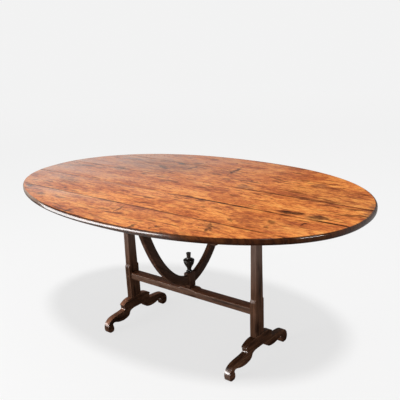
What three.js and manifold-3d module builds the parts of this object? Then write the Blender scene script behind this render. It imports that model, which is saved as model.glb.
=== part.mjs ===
// Oval tilt-top wine tasting table on a trestle base.
// The plank top turns on pins at the heads of two posts. A U-shaped support, the harp,
// swivels on the stretcher: across it, its arms prop the top; in line with it, the top tilts.
// Millimetres, +Z up. The origin is on the floor under the middle of the top.
// X runs along the top's length and along the stretcher, Y across them.

import * as THREE from "three";
import { mergeVertices } from "three/addons/utils/BufferGeometryUtils.js";
import Module from "manifold-3d";

const wasm = await Module();
wasm.setup();

// Clearances and cutting
const FIT_GAP = 0.3; // between two pieces where one rests on, or is let into, the other
const PIVOT_GAP = 0.4; // round a pin or pintle that turns
const CUT_OVERRUN = 6; // how far a cutting shape runs past the face that it opens
const MERGE_DISTANCE = 1e-4; // points nearer than this are one point

// Fineness of round forms, in counts
const OVAL_POINTS = 96;
const RIM_STEPS = 4;
const CURVE_STEPS = 5;
const ARM_STEPS = 20;
const PIVOT_SIDES = 24;
const SMALL_SIDES = 12;
const LATHE_SIDES = 24;

// Top
const TABLE_HEIGHT = 740;
const TOP_LENGTH = 1692;
const TOP_WIDTH = 1074;
const TOP_THICKNESS = 28;
const OVAL_POWER_SHARE = 2.18; // 2 would be an ellipse, more is fuller at the corners
const RIM_UPPER_ROUND = 9;
const RIM_LOWER_ROUND = 10;
const SEAM_SHARES = [-0.603, -0.217, 0.176, 0.603]; // of the top's half width
const TONGUE_THICKNESS = 8;
const TONGUE_DEPTH = 9;

// Slow waves of the hand-cut edge, as shares of the oval's radius. Each row is one wave,
// its cosine and its sine; the first goes twice round the oval, each next once more.
const FIRST_WAVE_COUNT = 2;
const EDGE_WAVE_SHARES = [
  [0.0012, 0.008],
  [-0.0057, -0.0066],
  [0.003, 0.0003],
  [0.0003, -0.0032],
];

// Battens under the top, one outside each post
const BATTEN_LENGTH_SHARE = 0.726; // of the top's width
const BATTEN_WIDTH = 66;
const BATTEN_DEPTH = 34;
const BATTEN_END_CHAMFER = 7;
const BATTEN_SIDE_GAP = 1; // running gap between a batten and the post beside it

// Screws that hold the boards to the battens
const SCREW_LENGTH = 47;
const SCREW_HEAD_RADIUS = 5.5;
const SCREW_HEAD_DEPTH = 4;
const SCREW_SHANK_RADIUS = 2.8;
const SCREW_POINT_LENGTH = 7;
const SCREW_SLOT_WIDTH = 1.4;
const SCREW_SLOT_DEPTH = 1.6;
const SCREW_PLACE_SHARES = [0.45, 0.5, 0.22, 0.5, 0.55]; // of each board's stretch of batten

// Pins that the top turns on
const PIVOT_DROP = 20; // from the top's underside down to the pins' axis
const PIN_RADIUS = 6;
const PIN_HEAD_RADIUS = 11;
const PIN_HEAD_THICKNESS = 4;

// Posts
const POST_SPACING = 736; // from the middle of one post to the middle of the other
const POST_THICKNESS = 29; // along X, and the feet's too
const POST_BLOCK_WIDTH = 66;
const POST_NECK_WIDTH = 54;
const POST_HEAD_WIDTH = 38.5;
const LEDGE_HEIGHT = 290; // floor to where the block starts to slope in to the neck
const LEDGE_RISE = 8;
const POST_TENON_THICKNESS = 10;
const POST_TENON_WIDTH = 44;
const POST_TENON_LENGTH = 40;
const POST_ARRIS = 1.5;

// Feet
// Reach of each foot from the middle of its post, forwards and backwards
const FOOT_REACHES = { left: [208, 225], right: [229, 229] };
const FOOT_HEIGHT = 123.5;
const FOOT_ARRIS = 1.5;
const FOOT_PEG_SPACING = 22;
const FOOT_PEG_DROP = 20; // from the foot's top down to the pegs

// One half of the foot's outline from the middle of the arch round to the middle of its top.
// Each row is one curve: its two handles and its end, as shares of the reach and the height.
const FOOT_START_SHARES = [0, 0.545];
const FOOT_CURVE_SHARES = [
  [0.067, 0.55, 0.12, 0.55, 0.17, 0.53], // arch
  [0.22, 0.51, 0.25, 0.47, 0.262, 0.4], // arch's end
  [0.275, 0.33, 0.32, 0.28, 0.391, 0.26], // hollow down to the belly
  [0.48, 0.225, 0.587, 0.245, 0.676, 0.29], // belly
  [0.729, 0.325, 0.775, 0.365, 0.815, 0.345], // up to the notch behind the toe
  [0.845, 0.32, 0.845, 0.28, 0.83, 0.235], // notch
  [0.809, 0.15, 0.809, 0, 0.867, 0], // toe's back
  [0.889, 0, 0.911, 0, 0.929, 0], // flat pad on the floor
  [0.978, 0, 1, 0.09, 1, 0.2], // toe's front
  [1, 0.33, 0.955, 0.44, 0.91, 0.49], // over the toe
  [0.84, 0.57, 0.72, 0.585, 0.6, 0.6], // up the instep
  [0.54, 0.608, 0.48, 0.618, 0.43, 0.64], // ledge
  [0.412, 0.66, 0.411, 0.72, 0.42, 0.77], // hollow under the step
  [0.424, 0.8, 0.436, 0.82, 0.444, 0.845], // out to the step's corner
  [0.41, 0.905, 0.32, 0.985, 0.225, 1], // slope up to the post
];

// Stretcher
const STRETCHER_TOP = 255.5;
const STRETCHER_THICKNESS = 30;
const STRETCHER_WIDTH = 51;
const STRETCHER_ARRIS = 2;
const BOSS_RISE = 6.5;
const BOSS_LENGTH = 104;
const BOSS_OGEE_LENGTH = 18;
const STRETCHER_TENON_THICKNESS = 16;
const STRETCHER_TENON_WIDTH = 38;
const STRETCHER_TENON_LENGTH = 24;

// Wooden pegs
const PEG_RADIUS = 4;
const ARM_PEG_RADIUS = 3;

// Harp: block, pintle, arms and finial
const HARP_TURN_DEGREES = 2.6; // how far off square the harp was left standing
const BLOCK_THICKNESS = 30; // across the arms
const BLOCK_WIDTH = 46; // in line with the arms
const BLOCK_HEIGHT = 75;
const BLOCK_CHAMFER = 3;
const PINTLE_RADIUS = 10;
const PINTLE_END_GAP = 1.5; // the pintle stops this far short of the stretcher's underside
const ARM_THICKNESS = 21;
const ARM_WIDTH = 43;
const ARM_ARRIS = 1.5;
const ARM_ROOT_OFFSET = 0.5; // the centre line starts here, inside the block
const ARM_ROOT_HEIGHT = 34; // above the block's underside
const ARM_TIP_OFFSET = 328; // half the span between the arms' centre lines at the top
const ARM_TIP_GAP = 1.2; // play between the arms' tips and the top
const ARM_HANDLE_SHARES = [0.272, 0.042, 0.703, 0.19]; // of the arm's run and rise
const ARM_TENON_THICKNESS = 9;
const ARM_TENON_HEIGHT = 30;
const ARM_TENON_LENGTH = 16;
const ARM_TENON_LIFT = 38; // the tenon's middle above the block's underside
const FINIAL_HEIGHT = 92;
const FINIAL_RADIUS = 25.5;
const FINIAL_TENON_RADIUS = 7;
const FINIAL_TENON_LENGTH = 20;

// Finial's profile from its base to its top: shares of its radius and height
const FINIAL_SHARES = [
  [0.55, 0],
  [0.58, 0.015],
  [0.58, 0.04],
  [0.5, 0.06],
  [0.4, 0.08],
  [0.37, 0.13],
  [0.39, 0.19],
  [0.5, 0.26],
  [0.7, 0.35],
  [0.85, 0.43],
  [0.93, 0.5],
  [0.955, 0.555],
  [0.94, 0.575],
  [1, 0.59],
  [1, 0.635],
  [0.9, 0.66],
  [0.43, 0.685],
  [0.37, 0.72],
  [0.355, 0.8],
  [0.38, 0.9],
  [0.43, 0.975],
  [0.43, 1],
];

// Places that follow from the sizes
const TOP_UNDERSIDE = TABLE_HEIGHT - TOP_THICKNESS;
const PIVOT_HEIGHT = TOP_UNDERSIDE - PIVOT_DROP;
const POST_X = POST_SPACING / 2;
const POST_INNER_X = POST_X - POST_THICKNESS / 2;
const POST_OUTER_X = POST_X + POST_THICKNESS / 2;
const POST_BOTTOM = FOOT_HEIGHT + FIT_GAP;
const BATTEN_LENGTH = BATTEN_LENGTH_SHARE * TOP_WIDTH;
const BATTEN_INNER_X = POST_OUTER_X + BATTEN_SIDE_GAP;
const BATTEN_X = BATTEN_INNER_X + BATTEN_WIDTH / 2;
const BATTEN_TOP = TOP_UNDERSIDE - FIT_GAP;
const BATTEN_BOTTOM = BATTEN_TOP - BATTEN_DEPTH;
const STRETCHER_BOTTOM = STRETCHER_TOP - STRETCHER_THICKNESS;
const STRETCHER_MIDDLE = STRETCHER_TOP - STRETCHER_THICKNESS / 2;
const BOSS_TOP = STRETCHER_TOP + BOSS_RISE;
const BLOCK_BOTTOM = BOSS_TOP + FIT_GAP;
const BLOCK_TOP = BLOCK_BOTTOM + BLOCK_HEIGHT;
const ARM_TENON_MIDDLE = BLOCK_BOTTOM + ARM_TENON_LIFT;
const ARM_TIP_HEIGHT = TOP_UNDERSIDE - ARM_TIP_GAP;
const FINIAL_BOTTOM = BLOCK_TOP + FIT_GAP;

// A closed geometry as a solid for cutting and joining.
function toSolid(geometry) {
  const bare = geometry.clone();
  bare.deleteAttribute("normal");
  bare.deleteAttribute("uv");
  const merged = mergeVertices(bare, MERGE_DISTANCE);
  return new wasm.Manifold(
    new wasm.Mesh({
      numProp: 3,
      vertProperties: merged.attributes.position.array,
      triVerts: new Uint32Array(merged.index.array),
    }),
  );
}

// A cut solid back as a flat-shaded geometry.
function toGeometry(solid) {
  const mesh = solid.getMesh();
  const indexed = new THREE.BufferGeometry();
  indexed.setAttribute("position", new THREE.BufferAttribute(mesh.vertProperties, 3));
  indexed.setIndex(new THREE.BufferAttribute(mesh.triVerts, 1));
  const flat = indexed.toNonIndexed();
  flat.computeVertexNormals();
  return flat;
}

// A block between two opposite corners, each [x, y, z].
function blockSolid(low, high) {
  const size = low.map((value, axis) => high[axis] - value);
  const geometry = new THREE.BoxGeometry(...size);
  geometry.translate(...low.map((value, axis) => value + size[axis] / 2));
  return toSolid(geometry);
}

// A round bar of a radius along one axis, between two places on it.
function barGeometry(radius, axis, from, to, centre, sides) {
  const geometry = new THREE.CylinderGeometry(radius, radius, to - from, sides);
  if (axis === "x") geometry.rotateZ(-Math.PI / 2);
  if (axis === "z") geometry.rotateX(Math.PI / 2);
  const middle = (from + to) / 2;
  const place = { x: centre[0], y: centre[1], z: centre[2], [axis]: middle };
  geometry.translate(place.x, place.y, place.z);
  return geometry;
}

function barSolid(...settings) {
  return toSolid(barGeometry(...settings));
}

// A whole outline from its right half, which starts and ends on the middle line.
function mirroredShape(half) {
  const left = half
    .slice(1, -1)
    .reverse()
    .map((point) => new THREE.Vector2(-point.x, point.y));
  return new THREE.Shape([...half, ...left]);
}

// A plank cut to an outline, with its arrises eased, lying on both sides of the outline's plane.
function plankGeometry(shape, thickness, arris) {
  const depth = thickness - 2 * arris;
  const geometry = new THREE.ExtrudeGeometry(shape, {
    depth,
    bevelEnabled: arris > 0,
    bevelThickness: arris,
    bevelSize: arris,
    bevelOffset: -arris,
    bevelSegments: 1,
    curveSegments: CURVE_STEPS,
  });
  geometry.translate(0, 0, -depth / 2);
  return geometry;
}

// Turn a plank whose outline was drawn in X and Y so that the outline lies in Y and Z.
function standAcross(geometry, x) {
  const toY = new THREE.Vector3(0, 1, 0);
  const toZ = new THREE.Vector3(0, 0, 1);
  const toX = new THREE.Vector3(1, 0, 0);
  geometry.applyMatrix4(new THREE.Matrix4().makeBasis(toY, toZ, toX));
  geometry.translate(x, 0, 0);
  return geometry;
}

// Turn a plank whose outline was drawn in X and Y so that the outline lies in X and Z.
function standAlong(geometry) {
  geometry.rotateX(Math.PI / 2);
  return geometry;
}

// A point of the oval before it is centred: a circle drawn out towards a rounded rectangle,
// with the slow waves of the hand-cut edge.
function wavyPoint(angle) {
  const power = 2 / OVAL_POWER_SHARE;
  const cos = Math.cos(angle);
  const sin = Math.sin(angle);
  let swell = 1;
  EDGE_WAVE_SHARES.forEach(([cosine, sine], index) => {
    const turns = angle * (FIRST_WAVE_COUNT + index);
    swell += cosine * Math.cos(turns) + sine * Math.sin(turns);
  });
  return [
    Math.sign(cos) * Math.abs(cos) ** power * swell,
    Math.sign(sin) * Math.abs(sin) ** power * swell,
  ];
}

// The oval's points, centred and fitted into a box that reaches one to each side.
function ovalOutline() {
  const points = Array.from({ length: OVAL_POINTS }, (unused, step) =>
    wavyPoint((step / OVAL_POINTS) * 2 * Math.PI),
  );
  const fit = (axis) => {
    const values = points.map((point) => point[axis]);
    const low = Math.min(...values);
    const high = Math.max(...values);
    return values.map((value) => (2 * value - low - high) / (high - low));
  };
  const across = fit(1);
  return fit(0).map((x, index) => [x, across[index]]);
}

// The rim's rounding as [how far in from the edge, height], from the underside up.
function rimProfile() {
  const profile = [];
  for (let step = 0; step <= RIM_STEPS; step += 1) {
    const angle = (step / RIM_STEPS) * (Math.PI / 2);
    const inset = RIM_LOWER_ROUND * (1 - Math.sin(angle));
    profile.push([inset, TOP_UNDERSIDE + RIM_LOWER_ROUND * (1 - Math.cos(angle))]);
  }
  for (let step = 0; step <= RIM_STEPS; step += 1) {
    const angle = (step / RIM_STEPS) * (Math.PI / 2);
    const inset = RIM_UPPER_ROUND * (1 - Math.cos(angle));
    profile.push([inset, TABLE_HEIGHT - RIM_UPPER_ROUND * (1 - Math.sin(angle))]);
  }
  return profile;
}

// The whole oval top in one piece: rings of the rim's profile, closed by fans above and below.
function ovalTopSolid() {
  const points = [];
  const faces = [];
  const profile = rimProfile();
  const outline = ovalOutline();
  for (const [inset, height] of profile) {
    for (const [x, y] of outline) {
      points.push(x * (TOP_LENGTH / 2 - inset), y * (TOP_WIDTH / 2 - inset), height);
    }
  }
  for (let ring = 0; ring < profile.length - 1; ring += 1) {
    for (let step = 0; step < OVAL_POINTS; step += 1) {
      const next = (step + 1) % OVAL_POINTS;
      const low = ring * OVAL_POINTS;
      const high = low + OVAL_POINTS;
      faces.push(low + step, low + next, high + next);
      faces.push(low + step, high + next, high + step);
    }
  }
  const lowCentre = points.length / 3;
  points.push(0, 0, TOP_UNDERSIDE);
  points.push(0, 0, TABLE_HEIGHT);
  const lastRing = (profile.length - 1) * OVAL_POINTS;
  for (let step = 0; step < OVAL_POINTS; step += 1) {
    const next = (step + 1) % OVAL_POINTS;
    faces.push(lowCentre, next, step);
    faces.push(lowCentre + 1, lastRing + step, lastRing + next);
  }
  const geometry = new THREE.BufferGeometry();
  geometry.setAttribute("position", new THREE.Float32BufferAttribute(points, 3));
  geometry.setIndex(faces);
  return toSolid(geometry);
}

// Where each board starts and ends across the top, from -Y to +Y.
function boardEdges() {
  const half = TOP_WIDTH / 2;
  const seams = SEAM_SHARES.map((share) => share * half);
  const marks = [-half, ...seams, half];
  return marks.slice(1).map((end, index) => ({ start: marks[index], end }));
}

// Where the screw through each board stands along the battens.
function screwPlaces() {
  const reach = BATTEN_LENGTH / 2;
  return boardEdges().map((board, index) => {
    const start = Math.max(board.start, -reach);
    const end = Math.min(board.end, reach);
    return start + (end - start) * SCREW_PLACE_SHARES[index];
  });
}

// A countersunk screw that stands head down in a batten, or, grown, the hole for it.
function screwGeometry(x, y, grow) {
  const profile = [
    new THREE.Vector2(0, 0),
    new THREE.Vector2(SCREW_HEAD_RADIUS + grow, 0),
    new THREE.Vector2(SCREW_SHANK_RADIUS + grow, SCREW_HEAD_DEPTH),
    new THREE.Vector2(SCREW_SHANK_RADIUS + grow, SCREW_LENGTH - SCREW_POINT_LENGTH + grow),
    new THREE.Vector2(0, SCREW_LENGTH + 2 * grow),
  ];
  const geometry = new THREE.LatheGeometry(profile, SMALL_SIDES);
  geometry.rotateX(Math.PI / 2);
  geometry.translate(x, y, BATTEN_BOTTOM);
  return geometry;
}

function slottedScrew(x, y) {
  const reach = SCREW_HEAD_RADIUS + CUT_OVERRUN;
  const slot = blockSolid(
    [x - reach, y - SCREW_SLOT_WIDTH / 2, BATTEN_BOTTOM - CUT_OVERRUN],
    [x + reach, y + SCREW_SLOT_WIDTH / 2, BATTEN_BOTTOM + SCREW_SLOT_DEPTH],
  );
  return toGeometry(toSolid(screwGeometry(x, y, 0)).subtract(slot));
}

// One board: a slab of the oval with a tongue on its +Y edge and a groove in its -Y edge.
function boardGeometry(oval, index) {
  const boards = boardEdges();
  const { start, end } = boards[index];
  const reach = TOP_LENGTH / 2 + CUT_OVERRUN;
  const middle = TOP_UNDERSIDE + TOP_THICKNESS / 2;
  const isFirst = index === 0;
  const isLast = index === boards.length - 1;
  const low = isFirst ? start - CUT_OVERRUN : start + FIT_GAP / 2;
  const high = isLast ? end + CUT_OVERRUN : end - FIT_GAP / 2;
  let slab = blockSolid(
    [-reach, low, TOP_UNDERSIDE - CUT_OVERRUN],
    [reach, high, TABLE_HEIGHT + CUT_OVERRUN],
  );
  if (!isLast) {
    const tongue = blockSolid(
      [-reach, high - CUT_OVERRUN, middle - TONGUE_THICKNESS / 2],
      [reach, high + TONGUE_DEPTH, middle + TONGUE_THICKNESS / 2],
    );
    slab = slab.add(tongue);
  }
  if (!isFirst) {
    const groove = blockSolid(
      [-reach - CUT_OVERRUN, low - CUT_OVERRUN, middle - TONGUE_THICKNESS / 2 - FIT_GAP],
      [reach + CUT_OVERRUN, low + TONGUE_DEPTH + FIT_GAP, middle + TONGUE_THICKNESS / 2 + FIT_GAP],
    );
    slab = slab.subtract(groove);
  }
  let board = oval.intersect(slab);
  for (const side of [-1, 1]) {
    const hole = toSolid(screwGeometry(side * BATTEN_X, screwPlaces()[index], FIT_GAP));
    board = board.subtract(hole);
  }
  return toGeometry(board);
}

// One batten, bored for its pivot pin and its screws.
function battenGeometry(side) {
  const reach = BATTEN_LENGTH / 2;
  const half = [
    new THREE.Vector2(0, BATTEN_BOTTOM),
    new THREE.Vector2(reach - BATTEN_END_CHAMFER, BATTEN_BOTTOM),
    new THREE.Vector2(reach, BATTEN_BOTTOM + BATTEN_END_CHAMFER),
    new THREE.Vector2(reach, BATTEN_TOP),
    new THREE.Vector2(0, BATTEN_TOP),
  ];
  const plank = standAcross(plankGeometry(mirroredShape(half), BATTEN_WIDTH, 0), side * BATTEN_X);
  const ends = [side * (BATTEN_INNER_X - CUT_OVERRUN), side * (BATTEN_X + BATTEN_WIDTH)];
  const bore = barSolid(
    PIN_RADIUS + FIT_GAP,
    "x",
    Math.min(...ends),
    Math.max(...ends),
    [0, 0, PIVOT_HEIGHT],
    PIVOT_SIDES,
  );
  let batten = toSolid(plank).subtract(bore);
  for (const y of screwPlaces()) {
    batten = batten.subtract(toSolid(screwGeometry(side * BATTEN_X, y, FIT_GAP)));
  }
  return toGeometry(batten);
}

// A headed iron pin: its head lies against the batten's outer face, its end in the post.
function pivotPinGeometry(side) {
  const headFace = BATTEN_INNER_X + BATTEN_WIDTH + FIT_GAP;
  const shank = headFace - POST_INNER_X - FIT_GAP;
  const profile = [
    new THREE.Vector2(0, 0),
    new THREE.Vector2(PIN_RADIUS, 0),
    new THREE.Vector2(PIN_RADIUS, shank),
    new THREE.Vector2(PIN_HEAD_RADIUS, shank),
    new THREE.Vector2(PIN_HEAD_RADIUS, shank + PIN_HEAD_THICKNESS / 2),
    new THREE.Vector2(PIN_HEAD_RADIUS / 2, shank + PIN_HEAD_THICKNESS),
    new THREE.Vector2(0, shank + PIN_HEAD_THICKNESS),
  ];
  const geometry = new THREE.LatheGeometry(profile, PIVOT_SIDES);
  geometry.rotateZ(-Math.PI / 2);
  geometry.translate(POST_INNER_X + FIT_GAP, 0, PIVOT_HEIGHT);
  if (side < 0) geometry.rotateZ(Math.PI);
  return geometry;
}

// A post at +X: block, sloped ledge, tapered shaft and round head, with its foot tenon.
function postGeometry() {
  const path = new THREE.Path();
  path.moveTo(0, POST_BOTTOM);
  path.lineTo(POST_BLOCK_WIDTH / 2, POST_BOTTOM);
  path.lineTo(POST_BLOCK_WIDTH / 2, LEDGE_HEIGHT);
  path.lineTo(POST_NECK_WIDTH / 2, LEDGE_HEIGHT + LEDGE_RISE);
  path.lineTo(POST_HEAD_WIDTH / 2, PIVOT_HEIGHT);
  path.absarc(0, PIVOT_HEIGHT, POST_HEAD_WIDTH / 2, 0, Math.PI / 2);
  const half = path.getPoints(CURVE_STEPS);
  const plank = plankGeometry(mirroredShape(half), POST_THICKNESS, POST_ARRIS);
  const tenon = blockSolid(
    [POST_X - POST_TENON_THICKNESS / 2, -POST_TENON_WIDTH / 2, FOOT_HEIGHT - POST_TENON_LENGTH],
    [POST_X + POST_TENON_THICKNESS / 2, POST_TENON_WIDTH / 2, POST_BOTTOM + CUT_OVERRUN],
  );
  return toGeometry(
    toSolid(standAcross(plank, POST_X))
      .add(tenon)
      .subtract(stretcherTenon(FIT_GAP))
      .subtract(pivotBore())
      .subtract(stretcherPegBore())
      .subtract(footPegBore(-1))
      .subtract(footPegBore(1)),
  );
}

function pivotBore() {
  const from = POST_INNER_X - CUT_OVERRUN;
  const to = POST_OUTER_X + CUT_OVERRUN;
  return barSolid(PIN_RADIUS + PIVOT_GAP, "x", from, to, [0, 0, PIVOT_HEIGHT], PIVOT_SIDES);
}

// The stretcher's tenon in the +X post or, grown, the mortise for it.
function stretcherTenon(grow) {
  const halfWidth = STRETCHER_TENON_WIDTH / 2 + grow;
  const halfHeight = STRETCHER_TENON_THICKNESS / 2 + grow;
  return blockSolid(
    [POST_INNER_X - CUT_OVERRUN, -halfWidth, STRETCHER_MIDDLE - halfHeight],
    [POST_INNER_X + STRETCHER_TENON_LENGTH + grow, halfWidth, STRETCHER_MIDDLE + halfHeight],
  );
}

function stretcherPegBore() {
  const reach = POST_BLOCK_WIDTH / 2 + CUT_OVERRUN;
  return barSolid(PEG_RADIUS + FIT_GAP, "y", -reach, reach, stretcherPegPlace(), SMALL_SIDES);
}

function stretcherPegPlace() {
  return [POST_INNER_X + STRETCHER_TENON_LENGTH / 2, 0, STRETCHER_MIDDLE];
}

function footPegPlace(row) {
  return [POST_X, (row * FOOT_PEG_SPACING) / 2, FOOT_HEIGHT - FOOT_PEG_DROP];
}

function footPegBore(row) {
  const from = POST_INNER_X - CUT_OVERRUN;
  const to = POST_OUTER_X + CUT_OVERRUN;
  return barSolid(PEG_RADIUS + FIT_GAP, "x", from, to, footPegPlace(row), SMALL_SIDES);
}

// One half of a foot's outline, as long as its reach.
function footHalf(reach) {
  const inSizes = (shares) =>
    shares.map((share, index) => share * (index % 2 === 0 ? reach : FOOT_HEIGHT));
  const path = new THREE.Path();
  path.moveTo(...inSizes(FOOT_START_SHARES));
  for (const row of FOOT_CURVE_SHARES) path.bezierCurveTo(...inSizes(row));
  path.lineTo(0, FOOT_HEIGHT);
  return path.getPoints(CURVE_STEPS);
}

// A scrolled foot at +X with its reach towards -Y and towards +Y, mortised for its post.
function footGeometry(lowReach, highReach) {
  const lowHalf = footHalf(lowReach)
    .slice(1, -1)
    .reverse()
    .map((point) => new THREE.Vector2(-point.x, point.y));
  const shape = new THREE.Shape([...footHalf(highReach), ...lowHalf]);
  const plank = plankGeometry(shape, POST_THICKNESS, FOOT_ARRIS);
  const mortise = blockSolid(
    [
      POST_X - POST_TENON_THICKNESS / 2 - FIT_GAP,
      -POST_TENON_WIDTH / 2 - FIT_GAP,
      FOOT_HEIGHT - POST_TENON_LENGTH - FIT_GAP,
    ],
    [
      POST_X + POST_TENON_THICKNESS / 2 + FIT_GAP,
      POST_TENON_WIDTH / 2 + FIT_GAP,
      FOOT_HEIGHT + CUT_OVERRUN,
    ],
  );
  return toGeometry(
    toSolid(standAcross(plank, POST_X))
      .subtract(mortise)
      .subtract(footPegBore(-1))
      .subtract(footPegBore(1)),
  );
}

// The stretcher, with its boss and both tenons, bored for the harp's pintle.
function stretcherGeometry() {
  const bossReach = BOSS_LENGTH / 2;
  const flatReach = bossReach - BOSS_OGEE_LENGTH;
  const bend = BOSS_OGEE_LENGTH / 2;
  const end = POST_INNER_X - FIT_GAP;
  const path = new THREE.Path();
  path.moveTo(0, STRETCHER_BOTTOM);
  path.lineTo(end, STRETCHER_BOTTOM);
  path.lineTo(end, STRETCHER_TOP);
  path.lineTo(bossReach, STRETCHER_TOP);
  path.bezierCurveTo(
    bossReach - bend,
    STRETCHER_TOP,
    flatReach + bend,
    BOSS_TOP,
    flatReach,
    BOSS_TOP,
  );
  path.lineTo(0, BOSS_TOP);
  const half = path.getPoints(CURVE_STEPS);
  const beam = plankGeometry(mirroredShape(half), STRETCHER_WIDTH, STRETCHER_ARRIS);
  const tenon = stretcherTenon(0).subtract(stretcherPegBore());
  const otherTenon = tenon.rotate([0, 0, 180]);
  const bore = barSolid(
    PINTLE_RADIUS + PIVOT_GAP,
    "z",
    STRETCHER_BOTTOM - CUT_OVERRUN,
    BOSS_TOP + CUT_OVERRUN,
    [0, 0, 0],
    PIVOT_SIDES,
  );
  return toGeometry(toSolid(standAlong(beam)).add(tenon).add(otherTenon).subtract(bore));
}

// The harp's arm on the +Y side, before its root is cut: a band along one curve.
function armBand() {
  const start = new THREE.Vector2(ARM_ROOT_OFFSET, BLOCK_BOTTOM + ARM_ROOT_HEIGHT);
  const end = new THREE.Vector2(ARM_TIP_OFFSET, ARM_TIP_HEIGHT);
  const run = end.x - start.x;
  const rise = end.y - start.y;
  const [firstRun, firstRise, secondRun, secondRise] = ARM_HANDLE_SHARES;
  const curve = new THREE.CubicBezierCurve(
    start,
    new THREE.Vector2(start.x + run * firstRun, start.y + rise * firstRise),
    new THREE.Vector2(start.x + run * secondRun, start.y + rise * secondRise),
    end,
  );
  const outer = [];
  const inner = [];
  for (let step = 0; step <= ARM_STEPS; step += 1) {
    const point = curve.getPoint(step / ARM_STEPS);
    const along = curve.getTangent(step / ARM_STEPS);
    if (step === ARM_STEPS) point.addScaledVector(along, ARM_WIDTH / 2);
    const across = new THREE.Vector2(along.y, -along.x).multiplyScalar(ARM_WIDTH / 2);
    outer.push(point.clone().add(across));
    inner.push(point.clone().sub(across));
  }
  const shape = new THREE.Shape([...outer, ...inner.reverse()]);
  return toSolid(standAcross(plankGeometry(shape, ARM_THICKNESS, ARM_ARRIS), 0));
}

// The arm's tenon in the block or, grown, the mortise for it.
function armTenon(grow) {
  const face = BLOCK_WIDTH / 2;
  const halfThickness = ARM_TENON_THICKNESS / 2 + grow;
  const halfHeight = ARM_TENON_HEIGHT / 2 + grow;
  return blockSolid(
    [-halfThickness, face - ARM_TENON_LENGTH - grow, ARM_TENON_MIDDLE - halfHeight],
    [halfThickness, face + CUT_OVERRUN, ARM_TENON_MIDDLE + halfHeight],
  );
}

function armPegPlace() {
  return [0, BLOCK_WIDTH / 2 - ARM_TENON_LENGTH / 2, ARM_TENON_MIDDLE];
}

function armPegBore() {
  const reach = BLOCK_THICKNESS / 2 + CUT_OVERRUN;
  return barSolid(ARM_PEG_RADIUS + FIT_GAP, "x", -reach, reach, armPegPlace(), SMALL_SIDES);
}

// What is cut from the arm's tip: all above a round as high over the pins' axis as the tip,
// so that the top clears the tip when the harp is in line and the top tilts.
function tipWaste() {
  const reach = ARM_TIP_OFFSET + ARM_WIDTH;
  const above = blockSolid(
    [-ARM_THICKNESS, 0, PIVOT_HEIGHT],
    [ARM_THICKNESS, reach, TABLE_HEIGHT + ARM_WIDTH],
  );
  const round = barSolid(
    ARM_TIP_HEIGHT - PIVOT_HEIGHT,
    "y",
    -CUT_OVERRUN,
    reach + CUT_OVERRUN,
    [0, 0, PIVOT_HEIGHT],
    PIVOT_SIDES,
  );
  return above.subtract(round);
}

function armGeometry() {
  const face = BLOCK_WIDTH / 2 + FIT_GAP;
  const reach = ARM_TIP_OFFSET + ARM_WIDTH;
  const root = blockSolid([-ARM_THICKNESS, -reach, 0], [ARM_THICKNESS, face, TABLE_HEIGHT]);
  return toGeometry(
    armBand().subtract(root).subtract(tipWaste()).add(armTenon(0)).subtract(armPegBore()),
  );
}

// The centre block, its pintle below, and the mortises for both arms and the finial.
function blockGeometry() {
  const halfAcross = BLOCK_THICKNESS / 2;
  const halfAlong = BLOCK_WIDTH / 2;
  const section = new THREE.Shape();
  section.moveTo(halfAcross, -halfAlong);
  section.lineTo(halfAcross, halfAlong);
  section.lineTo(-halfAcross, halfAlong);
  section.lineTo(-halfAcross, -halfAlong);
  const column = plankGeometry(section, BLOCK_HEIGHT, BLOCK_CHAMFER);
  column.translate(0, 0, BLOCK_BOTTOM + BLOCK_HEIGHT / 2);
  const pintle = barSolid(
    PINTLE_RADIUS,
    "z",
    STRETCHER_BOTTOM + PINTLE_END_GAP,
    BLOCK_BOTTOM + CUT_OVERRUN,
    [0, 0, 0],
    PIVOT_SIDES,
  );
  const finialMortise = barSolid(
    FINIAL_TENON_RADIUS + FIT_GAP,
    "z",
    BLOCK_TOP - FINIAL_TENON_LENGTH - FIT_GAP,
    BLOCK_TOP + CUT_OVERRUN,
    [0, 0, 0],
    SMALL_SIDES,
  );
  const mortise = armTenon(FIT_GAP);
  return toGeometry(
    toSolid(column)
      .add(pintle)
      .subtract(mortise)
      .subtract(mortise.rotate([0, 0, 180]))
      .subtract(armPegBore())
      .subtract(armPegBore().rotate([0, 0, 180]))
      .subtract(finialMortise),
  );
}

// The turned urn finial with its tenon.
function finialGeometry() {
  const tenonBottom = BLOCK_TOP - FINIAL_TENON_LENGTH;
  const profile = [
    new THREE.Vector2(0, tenonBottom),
    new THREE.Vector2(FINIAL_TENON_RADIUS, tenonBottom),
    new THREE.Vector2(FINIAL_TENON_RADIUS, FINIAL_BOTTOM),
  ];
  for (const [radiusShare, heightShare] of FINIAL_SHARES) {
    const height = FINIAL_BOTTOM + heightShare * FINIAL_HEIGHT;
    profile.push(new THREE.Vector2(radiusShare * FINIAL_RADIUS, height));
  }
  profile.push(new THREE.Vector2(0, FINIAL_BOTTOM + FINIAL_HEIGHT));
  const geometry = new THREE.LatheGeometry(profile, LATHE_SIDES);
  geometry.rotateX(Math.PI / 2);
  return geometry;
}

// Finishes
const BOARD_COLOURS = [0xb8602c, 0xa9582b, 0xb26233, 0x9c5632, 0xa0593a];
const finishes = {
  base: { color: 0x4b3126, roughness: 0.5, metalness: 0 },
  batten: { color: 0x5a3a2a, roughness: 0.7, metalness: 0 },
  peg: { color: 0x3b261c, roughness: 0.6, metalness: 0 },
  finial: { color: 0x231a16, roughness: 0.4, metalness: 0 },
  iron: { color: 0x35312e, roughness: 0.55, metalness: 0.9 },
};

const table = new THREE.Group();
const harp = new THREE.Group();
harp.rotation.z = THREE.MathUtils.degToRad(HARP_TURN_DEGREES);
table.add(harp);

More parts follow.
